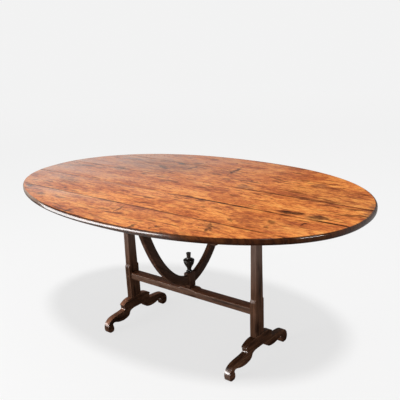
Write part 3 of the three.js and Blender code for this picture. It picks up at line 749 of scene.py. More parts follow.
class Workpiece:
    """One piece being modelled: a primitive that is shaped in edit mode."""

    def __init__(self, name: str) -> None:
        """Takes the active object, which a primitive has just made.

        Args:
            name: the piece's name.
        """
        self.object = bpy.context.view_layer.objects.active
        self.object.name = name
        self.object.data.name = name
        self.settle()

    @staticmethod
    def _clear_selection() -> None:
        """Leaves nothing selected, in object mode."""
        if bpy.context.mode != "OBJECT":
            bpy.ops.object.mode_set(mode="OBJECT")
        bpy.ops.object.select_all(action="DESELECT")

    def _take(self) -> None:
        """Selects this piece alone and makes it the active one."""
        self._clear_selection()
        self.object.select_set(True)
        bpy.context.view_layer.objects.active = self.object

    @classmethod
    def block(cls, name: str, low: Point, high: Point) -> "Workpiece":
        """A rectangular blank between two opposite corners.

        Args:
            name: the piece's name.
            low: its lowest corner.
            high: its highest corner.

        Returns:
            The workpiece.
        """
        cls._clear_selection()
        centre = [(a + b) / 2 for a, b in zip(low, high)]
        size = [b - a for a, b in zip(low, high)]
        bpy.ops.mesh.primitive_cube_add(size=1.0, location=centre, scale=size)
        return cls(name)

    @classmethod
    def disc(cls, name: str, sides: int, radius: float, centre: Point) -> "Workpiece":
        """A filled disc in the XY plane.

        Args:
            name: the piece's name.
            sides: how many sides it has.
            radius: its radius.
            centre: its middle.

        Returns:
            The workpiece.
        """
        cls._clear_selection()
        bpy.ops.mesh.primitive_circle_add(vertices=sides, radius=radius, fill_type="NGON", location=centre)
        return cls(name)

    @classmethod
    def cone(cls, name: str, foot: Point, radius: float, height: float) -> "Workpiece":
        """An upright cone, to sink a screw's head with.

        Args:
            name: the piece's name.
            foot: the middle of its base, from which it reaches a little down and all the way up.
            radius: its radius at the foot.
            height: how far it reaches up.

        Returns:
            The workpiece.
        """
        cls._clear_selection()
        below = height * 0.2
        bpy.ops.mesh.primitive_cone_add(
            vertices=32,
            radius1=radius * (height + below) / height,
            radius2=0.0,
            depth=height + below,
            location=(foot[0], foot[1], foot[2] + (height - below) / 2),
        )
        return cls(name)

    @classmethod
    def bar(
        cls, name: str, centre: Point, radius: float, length: float, axis: str = "X", sides: int = 40
    ) -> "Workpiece":
        """A round bar along one axis.

        Args:
            name: the piece's name.
            centre: its middle.
            radius: its radius.
            length: its length.
            axis: X, Y or Z.
            sides: how many sides it has.

        Returns:
            The workpiece.
        """
        cls._clear_selection()
        turn = {"X": (0, math.pi / 2, 0), "Y": (math.pi / 2, 0, 0), "Z": (0, 0, 0)}[axis]
        bpy.ops.mesh.primitive_cylinder_add(
            vertices=sides, radius=radius, depth=length, location=centre, rotation=turn
        )
        return cls(name)

    @classmethod
    def sawn(cls, name: str, points: Sequence[Point], shift: Point) -> "Workpiece":
        """A flat outline drawn out to a solid.

        Args:
            name: the piece's name.
            points: the outline's points, in order.
            shift: which way and how far it is drawn out.

        Returns:
            The workpiece.
        """
        work = cls.disc(name, len(points), 1.0, (0, 0, 0))
        with work.editing() as mesh:
            mesh.verts.ensure_lookup_table()
            for vertex, point in zip(mesh.verts, points):
                vertex.co = point
        work.extrude(shift, lambda face: True)
        work.face_out()
        return work

    @classmethod
    def plank(cls, name: str, outline: Sequence[Point], thickness: float, arris: float) -> "Workpiece":
        """A plank sawn to an outline in the YZ plane, as thick along X, with rounded arrises.

        Args:
            name: the piece's name.
            outline: the outline's points as (y, z), anticlockwise seen from +X.
            thickness: the plank's thickness.
            arris: how far its arrises are rounded.

        Returns:
            The workpiece, with its middle plane at X = 0.
        """
        half = thickness / 2
        work = cls.sawn(name, [(-half, y, z) for y, z in outline], (thickness, 0, 0))
        work.bevel(lambda edge: lies_at(edge, 0, -half) or lies_at(edge, 0, half), arris, 3)
        return work

    def settle(self) -> None:
        """Puts the object at the origin, unturned and unscaled, with its place in its mesh."""
        self._take()
        bpy.ops.object.transform_apply(location=True, rotation=True, scale=True)

    @contextmanager
    def editing(self) -> Iterator[bmesh.types.BMesh]:
        """Edit mode, with the mesh to select in or to move points of.

        Yields:
            The edited mesh.
        """
        bpy.context.view_layer.objects.active = self.object
        bpy.ops.object.mode_set(mode="EDIT")
        mesh = bmesh.from_edit_mesh(self.object.data)
        yield mesh
        bmesh.update_edit_mesh(self.object.data)
        bpy.ops.object.mode_set(mode="OBJECT")

    def face_out(self) -> None:
        """Turns all faces outwards."""
        with self.editing() as mesh:
            bmesh.ops.recalc_face_normals(mesh, faces=mesh.faces)

    def _pick(self, kind: str, test: Callable[[object], bool]) -> int:
        """Selects some of the mesh, in edit mode.

        Args:
            kind: VERT, EDGE or FACE.
            test: says whether an element is selected.

        Returns:
            How many were selected.
        """
        bpy.ops.mesh.select_mode(type=kind)
        bpy.ops.mesh.select_all(action="DESELECT")
        mesh = bmesh.from_edit_mesh(self.object.data)
        elements = {"VERT": mesh.verts, "EDGE": mesh.edges, "FACE": mesh.faces}[kind]
        chosen = [element for element in elements if test(element)]
        for element in chosen:
            element.select_set(True)
        bmesh.update_edit_mesh(self.object.data)
        return len(chosen)

    def extrude(self, shift: Point, faces: Callable[[bmesh.types.BMFace], bool]) -> None:
        """Draws faces out.

        Args:
            shift: how far they go.
            faces: says which ones.
        """
        with self.editing():
            self._pick("FACE", faces)
            bpy.ops.mesh.extrude_region_move(TRANSFORM_OT_translate={"value": shift})

    def resize(self, factors: Point, centre: Point, verts: Callable[[bmesh.types.BMVert], bool]) -> None:
        """Scales points about a centre.

        Args:
            factors: the scale along each axis.
            centre: the fixed point.
            verts: says which points.
        """
        with self.editing():
            self._pick("VERT", verts)
            bpy.ops.transform.resize(value=factors, center_override=centre)

    def bevel(self, edges: Callable[[bmesh.types.BMEdge], bool], width: float, segments: int) -> None:
        """Rounds edges.

        Args:
            edges: says which ones.
            width: how far the rounding reaches from the edge.
            segments: how many faces it has.
        """
        with self.editing():
            if self._pick("EDGE", edges):
                bpy.ops.mesh.bevel(offset=width, segments=segments, affect="EDGES", clamp_overlap=True)

    def cut(self, axis: int, places: Sequence[float]) -> None:
        """Cuts the faces along planes without parting them, to give the surface more points.

        Args:
            axis: the planes' axis, 0 to 2.
            places: where the planes stand on it.
        """
        normal = [1.0 if index == axis else 0.0 for index in range(3)]
        with self.editing():
            for place in places:
                bpy.ops.mesh.select_all(action="SELECT")
                point = [place * n for n in normal]
                bpy.ops.mesh.bisect(plane_co=point, plane_no=normal)

    def slice(self, point: Point, normal: Point) -> None:
        """Cuts away everything on the normal's side of a plane and closes the cut.

        Args:
            point: a point of the plane.
            normal: its normal.
        """
        with self.editing():
            bpy.ops.mesh.select_all(action="SELECT")
            bpy.ops.mesh.bisect(plane_co=point, plane_no=normal, use_fill=True, clear_outer=True)

    def unevenness(self, depth: float, lump: float) -> None:
        """Lets the surface wander in and out a little, as hand work and wear leave it.

        Args:
            depth: how far, from the lowest to the highest place.
            lump: the size of the lumps.
        """
        texture = bpy.data.textures.new(f"{self.object.name}_unevenness", "CLOUDS")
        texture.noise_scale = lump
        texture.noise_depth = 1
        modifier = self.object.modifiers.new("unevenness", "DISPLACE")
        modifier.texture = texture
        modifier.strength = depth
        modifier.mid_level = 0.5
        modifier.direction = "NORMAL"
        self.apply("unevenness")
        bpy.data.textures.remove(texture)

    def bore(self, cutter: "Workpiece") -> None:
        """Cuts another workpiece out of this one.

        Args:
            cutter: the workpiece, which is used up.
        """
        modifier = self.object.modifiers.new("bore", "BOOLEAN")
        modifier.operation = "DIFFERENCE"
        modifier.solver = "EXACT"
        modifier.object = cutter.object
        self.apply("bore")
        bpy.data.objects.remove(cutter.object)

    def flatten(self, level: float, reach: float) -> None:
        """Presses points that lie about one level down or up to it."""
        self.resize((1, 1, 0), (0, 0, level), lambda vertex: abs(vertex.co.z - level) < reach)

    def apply(self, modifier: str) -> None:
        """Applies one modifier."""
        self._take()
        bpy.ops.object.modifier_apply(modifier=modifier)

    def copy(self, name: str, turn: float = 0.0) -> "Workpiece":
        """A copy with its own mesh, turned about the table's upright middle line.

        Args:
            name: the copy's name.
            turn: the turn in degrees.

        Returns:
            The copy.
        """
        self._take()
        bpy.ops.object.duplicate(linked=False)
        twin = Workpiece(name)
        twin.turn(turn)
        return twin

    def turn(self, angle: float) -> None:
        """Turns the whole piece about the table's upright middle line."""
        self.object.rotation_euler = (0, 0, math.radians(angle))
        self.settle()

    def move(self, shift: Point) -> None:
        """Moves the whole piece."""
        self.object.location = shift
        self.settle()

    def join(self, other: "Workpiece") -> None:
        """Takes another workpiece into this one.

        Args:
            other: the workpiece, which is used up.
        """
        self._take()
        other.object.select_set(True)
        bpy.ops.object.join()

    def finish(
        self, material: bpy.types.Material, body: str, slot: str, *nodes: str, smooth: float = 40.0
    ) -> None:
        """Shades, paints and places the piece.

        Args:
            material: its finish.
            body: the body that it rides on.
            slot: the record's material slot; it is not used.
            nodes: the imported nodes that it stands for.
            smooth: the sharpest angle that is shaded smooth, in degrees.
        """
        self._take()
        bpy.ops.object.shade_smooth_by_angle(angle=math.radians(smooth))
        self.object.data.materials.clear()
        self.object.data.materials.append(material)
        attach(self.object, body)
        if nodes:
            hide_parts(*nodes)
        log.info("%s: %d faces", self.object.name, len(self.object.data.polygons))


def stations(start: float, end: float, step: float) -> list[float]:
    """Evenly spaced places strictly between two ends."""
    count = max(int(abs(end - start) / step), 1)
    return [start + (end - start) * (index + 1) / (count + 1) for index in range(count)]


def middle_of(node: str) -> Vector:
    """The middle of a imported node's box."""
    low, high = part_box(node)
    return (low + high) / 2


# The table


@dataclass
class TableTop:
    """Five boards cut to one oval, and the two battens under them."""

    length: float = 1.692
    width: float = 1.074
    height: float = 0.740
    thickness: float = 0.028
    power: float = 2.18
    first_wave: int = 2
    edge_waves: tuple[tuple[float, float], ...] = (
        (0.0012, 0.008), (-0.0057, -0.0066), (0.003, 0.0003), (0.0003, -0.0032),
    )
    upper_round: float = 0.010
    lower_round: float = 0.010
    seam_shares: tuple[float, ...] = (-0.603, -0.217, 0.176, 0.603)
    seam_gap: float = 0.0004
    seam_arris: float = 0.0011
    oval_sides: int = 288
    rim_faces: int = 6
    batten_chamfer: float = 0.007
    batten_arris: float = 0.0012
    sink_radius: float = 0.0062
    sink_depth: float = 0.0075
    pin_bore: float = 0.0063
    pin_bore_length: float = 0.3
    batten_wood: DarkWood = DarkWood(
        GrainWay.ALONG_Y, 3.0, (0.022, 0.012, 0.008), (0.065, 0.035, 0.023), (0.13, 0.078, 0.052),
        wear=0.4, roughness=0.62,
    )

    @property
    def seams(self) -> tuple[float, ...]:
        """The seams' places across the top."""
        return tuple(share * self.width / 2 for share in self.seam_shares)

    def wavy_point(self, share: float) -> tuple[float, float]:
        """A point of the oval before it is centred, with the slow waves of its hand-cut edge.

        Args:
            share: how far round, from 0 to 1.

        Returns:
            Its x and y, about 1 from the middle.
        """
        angle = share * math.tau
        cos, sin = math.cos(angle), math.sin(angle)
        power = 2 / self.power
        swell = 1.0
        for count, (cosine, sine) in enumerate(self.edge_waves, self.first_wave):
            swell += cosine * math.cos(count * angle) + sine * math.sin(count * angle)
        return math.copysign(abs(cos) ** power, cos) * swell, math.copysign(abs(sin) ** power, sin) * swell

    def outline(self) -> list[tuple[float, float]]:
        """The oval's points, centred and fitted to its length and width."""
        points = [self.wavy_point(index / self.oval_sides) for index in range(self.oval_sides)]
        fitted = []
        for values, size in zip(zip(*points), (self.length, self.width)):
            low, high = min(values), max(values)
            fitted.append([((value - low) / (high - low) - 0.5) * size for value in values])
        return list(zip(*fitted))

    def blank(self) -> Workpiece:
        """The whole oval with its rounded rim, before it is parted into boards."""
        underside = self.height - self.thickness
        points = [(x, y, underside) for x, y in self.outline()]
        top = Workpiece.sawn("oval_blank", points, (0, 0, self.thickness))
        for level, reach in ((self.height, self.upper_round), (underside, self.lower_round)):
            top.bevel(lambda edge, level=level: lies_at(edge, 2, level), reach, self.rim_faces)
        return top

    def build(self) -> None:
        """Models, dresses and places the boards and battens."""
        finish = TopWood(self.seams, self.height, self.height - self.thickness).make("top_boards_waxed")
        blank = self.blank()
        marks = (-self.width, *self.seams, self.width)
        for index in range(len(marks) - 1):
            board = blank.copy(f"top_board_{index + 1}_planed")
            low = marks[index] + self.seam_gap / 2
            high = marks[index + 1] - self.seam_gap / 2
            if index > 0:
                board.slice((0, low, 0), (0, -1, 0))
            if index < len(marks) - 2:
                board.slice((0, high, 0), (0, 1, 0))
            board.bevel(partial(self._is_seam_arris, low, high), self.seam_arris, 2)
            board.finish(finish, "top", "top_boards", f"top_board_{index + 1}", smooth=35)
        bpy.data.objects.remove(blank.object)
        for side in ("left", "right"):
            self.batten(side)

    def _is_seam_arris(self, low: float, high: float, edge: bmesh.types.BMEdge) -> bool:
        """Whether an edge lies where a board meets its neighbour, above its underside.

        Args:
            low: the board's lower seam face.
            high: its upper seam face.
            edge: the edge.

        Returns:
            Whether it does.
        """
        floor = self.height - self.thickness + self.lower_round
        on_seam = lies_at(edge, 1, low) or lies_at(edge, 1, high)
        return on_seam and all(vertex.co.z > floor for vertex in edge.verts)

    def batten(self, side: str) -> None:
        """One batten.

        Args:
            side: left or right.
        """
        node = f"batten_{side}"
        low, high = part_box(node)
        work = Workpiece.block(f"{node}_planed", low, high)
        for end in (low.y, high.y):
            work.bevel(partial(lies_on_all, {1: end, 2: low.z}), self.batten_chamfer, 1)
        work.bevel(is_sharp, self.batten_arris, 2)
        for index in range(len(self.seam_shares) + 1):
            screw = middle_of(f"batten_screw_{side}_{index + 1}")
            foot = (screw.x, screw.y, low.z)
            work.bore(Workpiece.cone("countersink", foot, self.sink_radius, self.sink_depth))
        pin = tuple(middle_of(f"pivot_pin_{side}"))
        work.bore(Workpiece.bar("pin_bore", pin, self.pin_bore, self.pin_bore_length))
        work.finish(self.batten_wood.make(f"{node}_wood"), "top", "battens", node, smooth=35)


@dataclass
class Trestle:
    """Two posts, two scrolled feet and the stretcher between them, with their pegs."""

    post_x: float = 0.368
    thickness: float = 0.029
    block_width: float = 0.066
    neck_width: float = 0.054
    head_width: float = 0.0385
    head_steps: int = 14
    ledge_height: float = 0.290
    ledge_rise: float = 0.008
    pivot_height: float = 0.692
    pivot_bore: float = 0.0064
    foot_reaches: tuple[tuple[str, float, float], ...] = (("left", 0.208, 0.225), ("right", 0.229, 0.229))
    foot_height: float = 0.1235
    arris: float = 0.0016
    foot_start: tuple[float, float] = (0.0, 0.545)
    foot_curves: tuple[tuple[float, ...], ...] = (
        (0.067, 0.55, 0.12, 0.55, 0.17, 0.53),
        (0.22, 0.51, 0.25, 0.47, 0.262, 0.4),
        (0.275, 0.33, 0.32, 0.28, 0.391, 0.26),
        (0.48, 0.225, 0.587, 0.245, 0.676, 0.29),
        (0.729, 0.325, 0.775, 0.365, 0.815, 0.345),
        (0.845, 0.32, 0.845, 0.28, 0.83, 0.235),
        (0.809, 0.15, 0.809, 0, 0.867, 0),
        (0.889, 0, 0.911, 0, 0.929, 0),
        (0.978, 0, 1, 0.09, 1, 0.2),
        (1, 0.33, 0.955, 0.44, 0.91, 0.49),
        (0.84, 0.57, 0.72, 0.585, 0.6, 0.6),
        (0.54, 0.608, 0.48, 0.618, 0.43, 0.64),
        (0.412, 0.66, 0.411, 0.72, 0.42, 0.77),
        (0.424, 0.8, 0.436, 0.82, 0.444, 0.845),
        (0.41, 0.905, 0.32, 0.985, 0.225, 1),
    )
    curve_steps: int = 12
    stretcher_top: float = 0.2555
    stretcher_thickness: float = 0.030
    stretcher_width: float = 0.051
    stretcher_arris: float = 0.0022
    boss_rise: float = 0.0065
    boss_length: float = 0.104
    boss_ogee: float = 0.018
    pintle_bore: float = 0.0104
    bore_length: float = 0.1
    fit_gap: float = 0.0003
    shortest_side: float = 0.8 * MM
    level_reach: float = 0.5 * MM
    pad_reach: float = 0.6 * MM
    post_step: float = 0.018
    foot_step: float = 0.014
    stretcher_step: float = 0.02
    post_unevenness: tuple[float, float] = (0.6 * MM, 0.06)
    foot_unevenness: tuple[float, float] = (0.8 * MM, 0.05)
    stretcher_unevenness: tuple[float, float] = (0.25 * MM, 0.05)
    # faded paints the posts' upper parts greyer and paler, a painted sheen.
    post_wood: DarkWood = DarkWood(
        GrainWay.ALONG_Z, body=(0.088, 0.040, 0.022), light=(0.145, 0.070, 0.042),
        polish=0.06, rubbed=0.05, upper_sheen=0.95,
    )
    foot_wood: DarkWood = DarkWood(GrainWay.ALONG_Y, lit_colour=(0.40, 0.18, 0.105), wear=0.85)
    # foot_shine gives each foot's seed, rubbed and lit; lit paints the left foot's upward faces lighter and
    # warmer as painted light.
    foot_shine: tuple[tuple[float, float, float], ...] = ((6.0, 0.35, 1.0), (2.0, 1.0, 0.0))
    # lit paints the stretcher's top lighter and warmer: painted light where the top's shade falls on it.
    stretcher_wood: DarkWood = DarkWood(
        GrainWay.ALONG_X, 4.0, body=(0.110, 0.055, 0.034), light=(0.21, 0.118, 0.076),
        worn=(0.80, 0.50, 0.36), lit_colour=(0.26, 0.105, 0.055), wear=1.0, rubbed=0.10, lit=0.8,
    )
    peg_wood: DarkWood = DarkWood(GrainWay.ALONG_X, 7.0, wear=0.3)

    def build(self) -> None:
        """Models, dresses and places the trestle."""
        self.posts()
        for (side, front, back), (seed, rubbed, lit) in zip(self.foot_reaches, self.foot_shine):
            self.foot(side, front, back, replace(self.foot_wood, seed=seed, rubbed=rubbed, lit=lit))
        self.stretcher()
        self.pegs()

    def posts(self) -> None:
        """Both posts: block, sloped ledge, tapered shaft and round head."""
        half = self.block_width / 2
        ledge_top = self.ledge_height + self.ledge_rise
        bottom = self.foot_height + self.fit_gap
        neck, radius = self.neck_width / 2, self.head_width / 2
        outline = [(-half, bottom), (half, bottom), (half, self.ledge_height), (neck, ledge_top)]
        for step in range(self.head_steps + 1):
            angle = math.pi * step / self.head_steps
            outline.append((radius * math.cos(angle), self.pivot_height + radius * math.sin(angle)))
        outline += [(-neck, ledge_top), (-half, self.ledge_height)]
        work = Workpiece.plank("post_right_planed", outline, self.thickness, self.arris)
        work.cut(2, stations(self.foot_height, self.pivot_height, self.post_step))
        work.move((self.post_x, 0, 0))
        twin = work.copy("post_left_planed", 180)
        for piece, side, x, seed in ((work, "right", self.post_x, 1.0), (twin, "left", -self.post_x, 5.0)):
            piece.unevenness(*self.post_unevenness)
            piece.flatten(bottom, self.level_reach)
            pivot = (x, 0, self.pivot_height)
            piece.bore(Workpiece.bar("pivot_bore", pivot, self.pivot_bore, self.bore_length))
            wood = replace(self.post_wood, seed=seed).make(f"post_{side}_wood")
            piece.finish(wood, "base", "trestle", f"post_{side}")

    def foot_half(self, reach: float) -> list[Vector]:
        """One half of a foot's outline, from the middle of the arch round to its top.

        Args:
            reach: how far it reaches from the middle of its post.

        Returns:
            Its points, as (how far out, height).
        """
        at = Vector((self.foot_start[0] * reach, self.foot_start[1] * self.foot_height))
        half = [at.copy()]
        for row in self.foot_curves:
            handles = [Vector((row[i] * reach, row[i + 1] * self.foot_height)) for i in (0, 2, 4)]
            points = interpolate_bezier(at, handles[0], handles[1], handles[2], self.curve_steps + 1)
            for point in points[1:]:
                if (point - half[-1]).length > self.shortest_side:
                    half.append(point.copy())
            at = handles[2]
        return half

    def foot(self, side: str, front: float, back: float, wood: DarkWood) -> None:
        """One scrolled foot.

        Args:
            side: left or right.
            front: its reach towards -Y.
            back: its reach towards +Y.
            wood: its finish.
        """
        front_half = [Vector((-point.x, point.y)) for point in reversed(self.foot_half(front)[1:])]
        outline = [(point.x, point.y) for point in self.foot_half(back) + front_half]
        work = Workpiece.plank(f"foot_{side}_sawn", outline, self.thickness, self.arris)
        work.cut(1, stations(-front, back, self.foot_step))
        work.cut(2, stations(0, self.foot_height, self.foot_step))
        work.unevenness(*self.foot_unevenness)
        work.flatten(0.0, self.pad_reach)
        work.flatten(self.foot_height, self.level_reach)
        work.move((self.post_x if side == "right" else -self.post_x, 0, 0))
        work.finish(wood.make(f"foot_{side}_wood"), "base", "trestle", f"foot_{side}")

    def stretcher(self) -> None:
        """The stretcher with its raised boss, bored for the harp's pintle."""
        end = self.post_x - self.thickness / 2 - self.fit_gap
        bottom = self.stretcher_top - self.stretcher_thickness
        boss = self.boss_length / 2
        flat = boss - self.boss_ogee
        top = self.stretcher_top
        side = [(end, bottom), (end, top), (boss, top)]
        bend, raised = self.boss_ogee / 2, top + self.boss_rise
        ogee = ((boss, top), (boss - bend, top), (flat + bend, raised), (flat, raised))
        side += [tuple(point) for point in interpolate_bezier(*map(Vector, ogee), 9)[1:]]
        outline = side + [(-x, z) for x, z in reversed(side)]
        work = Workpiece.plank("stretcher_planed", outline, self.stretcher_width, self.stretcher_arris)
        work.turn(-90)
        work.cut(0, stations(-end, end, self.stretcher_step))
        work.unevenness(*self.stretcher_unevenness)
        mouth = (0, 0, self.stretcher_top)
        work.bore(Workpiece.bar("pintle_bore", mouth, self.pintle_bore, self.bore_length, "Z"))
        work.finish(self.stretcher_wood.make("stretcher_wood"), "base", "trestle", "stretcher")

    def pegs(self) -> None:
        """The pegs' round ends, each a little proud of the face it was driven through."""
        wood = self.peg_wood.make("peg_wood")
        for name in sorted(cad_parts):
            if "stretcher_peg" in name or "foot_peg" in name:
                axis = "Y" if "stretcher_peg" in name else "X"
                driven_peg(name, *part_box(name), axis).finish(wood, "base", "pegs", name)


def driven_peg(
    node: str, low: Point, high: Point, axis: str, proud: float = 0.7 * MM, arris: float = 1.1 * MM
) -> Workpiece:
    """A whittled peg with softly rounded ends, in the place of a packed one.

    Args:
        node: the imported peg's name.
        low: the lowest corner of its box.
        high: the highest corner of its box.
        axis: the axis that it lies along.
        proud: how far it stands out at each end.
        arris: how far its ends are rounded.

    Returns:
        The workpiece.
    """
    along = "XYZ".index(axis)
    across = (along + 1) % 3
    centre = [(a + b) / 2 for a, b in zip(low, high)]
    radius = (high[across] - low[across]) / 2
    length = high[along] - low[along] + 2 * proud
    peg = Workpiece.bar(f"{node}_whittled", centre, radius, length, axis, 14)
    for end in (centre[along] - length / 2, centre[along] + length / 2):
        peg.bevel(partial(lies_on_all, {along: end}), arris, 2)
    return peg


@dataclass
class Harp:
    """The swivelling support: a block with its pintle, two curved arms and an urn finial."""

    turn: float = 2.6
    block_thickness: float = 0.030
    block_width: float = 0.046
    block_height: float = 0.075
    block_bottom: float = 0.2623
    block_chamfer: float = 0.003
    block_arris: float = 0.0012
    pintle_radius: float = 0.010
    pintle_bottom: float = 0.227
    pintle_sink: float = 0.004
    arm_thickness: float = 0.021
    arm_width: float = 0.043
    arm_arris: float = 0.0016
    arm_sink: float = 0.002
    arm_step: float = 0.016
    arm_unevenness: tuple[float, float] = (0.4 * MM, 0.05)
    root_offset: float = 0.0005
    root_height: float = 0.034
    tip_offset: float = 0.328
    tip_height: float = 0.7108
    tip_round: float = 0.003
    tip_reach: float = 0.4 * MM
    handle_shares: tuple[float, ...] = (0.272, 0.042, 0.703, 0.19)
    arm_steps: int = 44
    finial_height: float = 0.092
    finial_radius: float = 0.0255
    finial_sides: int = 64
    finial_shares: tuple[tuple[float, float], ...] = (
        (0.55, 0), (0.58, 0.015), (0.58, 0.04), (0.5, 0.06), (0.4, 0.08), (0.37, 0.13), (0.39, 0.19),
        (0.5, 0.26), (0.7, 0.35), (0.85, 0.43), (0.93, 0.5), (0.955, 0.555), (0.94, 0.575), (1, 0.59),
        (1, 0.635), (0.9, 0.66), (0.43, 0.685), (0.37, 0.72), (0.355, 0.8), (0.38, 0.9), (0.43, 0.975),
        (0.43, 1),
    )
    fit_gap: float = 0.0003
    block_wood: DarkWood = DarkWood(
        GrainWay.ALONG_Z, 8.0, body=(0.066, 0.029, 0.017), light=(0.11, 0.056, 0.036)
    )
    arm_wood: DarkWood = DarkWood(
        GrainWay.BACK_ARM, 9.0, body=(0.046, 0.0215, 0.0130), light=(0.105, 0.050, 0.030)
    )
    peg_wood: DarkWood = DarkWood(GrainWay.ALONG_X, 11.0, wear=0.3)
    finial_wood: DarkWood = DarkWood(
        GrainWay.ALONG_Z, 10.0, (0.006, 0.0042, 0.0035), (0.016, 0.010, 0.0075), (0.04, 0.026, 0.019),
        wear=0.35, roughness=0.33, polish=0.20,
    )

    @property
    def block_top(self) -> float:
        """The height of the block's top."""
        return self.block_bottom + self.block_height

    def build(self) -> None:
        """Models, dresses and places the harp."""
        self.block()
        self.arms()
        self.arm_pegs()
        self.finial()

    def block(self) -> None:
        """The centre block, with chamfered arrises and its pintle below."""
        across, along = self.block_thickness / 2, self.block_width / 2
        low, high = (-across, -along, self.block_bottom), (across, along, self.block_top)
        work = Workpiece.block("harp_block_planed", low, high)
        work.bevel(lambda edge: lies_at(edge, 2, edge.verts[0].co.z), self.block_chamfer, 1)
        work.bevel(is_sharp, self.block_arris, 2)
        reach = self.block_bottom - self.pintle_bottom + self.pintle_sink
        centre = (0, 0, self.pintle_bottom + reach / 2)
        work.join(Workpiece.bar("pintle", centre, self.pintle_radius, reach, "Z"))
        work.turn(self.turn)
        work.finish(self.block_wood.make("harp_block_wood"), "harp", "harp", "harp_block")

    def arm_outline(self) -> list[tuple[float, float]]:
        """The back arm's outline as (y, z) points: a band along one curve."""
        start = Vector((self.root_offset, self.block_bottom + self.root_height))
        end = Vector((self.tip_offset, self.tip_height))
        run, rise = end - start
        shares = self.handle_shares
        first = start + Vector((run * shares[0], rise * shares[1]))
        second = start + Vector((run * shares[2], rise * shares[3]))
        line = interpolate_bezier(start, first, second, end, self.arm_steps + 1)
        outer, inner = [], []
        for index, point in enumerate(line):
            before = line[max(index - 1, 0)]
            after = line[min(index + 1, len(line) - 1)]
            along = (after - before).normalized()
            across = Vector((along.y, -along.x)) * self.arm_width / 2
            if index == len(line) - 1:
                point = point + along * self.arm_width / 2
            outer.append(point + across)
            inner.append(point - across)
        return [(point.x, point.y) for point in outer + inner[::-1]]

    def arms(self) -> None:
        """Both arms, cut off against the block and just under the top."""
        back = Workpiece.plank("harp_arm_back_sawn", self.arm_outline(), self.arm_thickness, self.arm_arris)
        back.cut(2, stations(self.block_bottom, self.tip_height, self.arm_step))
        back.slice((0, self.block_width / 2 - self.arm_sink, 0), (0, -1, 0))
        back.slice((0, 0, self.tip_height), (0, 0, 1))
        back.bevel(partial(lies_on_all, {2: self.tip_height}), self.tip_round, 2)
        back.unevenness(*self.arm_unevenness)
        back.flatten(self.tip_height, self.tip_reach)
        front = back.copy("harp_arm_front_sawn", 180 + self.turn)
        back.turn(self.turn)
        for piece, side, way in ((back, "back", GrainWay.BACK_ARM), (front, "front", GrainWay.FRONT_ARM)):
            wood = replace(self.arm_wood, way=way).make(f"harp_arm_{side}_wood")
            piece.finish(wood, "harp", "harp", f"harp_arm_{side}")

    def arm_pegs(self) -> None:
        """The pegs through the block and the arms' tenons."""
        wood = self.peg_wood.make("arm_peg_wood")
        turned_back = Matrix.Rotation(math.radians(-self.turn), 4, "Z")
        for side in ("front", "back"):
            node = f"arm_peg_{side}"
            low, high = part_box(node)
            middle = turned_back @ ((low + high) / 2)
            radius = (high.z - low.z) / 2
            half = Vector((self.block_thickness / 2, radius, radius))
            peg = driven_peg(node, middle - half, middle + half, "X")
            peg.turn(self.turn)
            peg.finish(wood, "harp", "pegs", node)

    def finial(self) -> None:
        """The turned urn finial, drawn up ring by ring."""
        base = self.block_top + self.fit_gap
        rows = [(r * self.finial_radius, base + h * self.finial_height) for r, h in self.finial_shares]
        work = Workpiece.disc("finial_turned", self.finial_sides, rows[0][0], (0, 0, base))
        for (radius, height), (next_radius, next_height) in zip(rows, rows[1:]):
            work.extrude((0, 0, next_height - height), lambda face, top=height: lies_at(face, 2, top))
            scale = next_radius / radius
            work.resize(
                (scale, scale, 1),
                (0, 0, next_height),
                lambda vertex, top=next_height: abs(vertex.co.z - top) < SAME,
            )
        work.face_out()
        work.finish(self.finial_wood.make("finial_wood"), "harp", "finial", "finial", smooth=50)


class Ironwork:
    """The screws and pivot pins, which stay as packed."""

    def build(self) -> None:
        """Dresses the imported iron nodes."""
        iron = DullIron().make("forged_iron")
        for name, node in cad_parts.items():
            if name.startswith(("batten_screw", "pivot_pin")):
                node.data.materials.clear()
                node.data.materials.append(iron)


# The studio


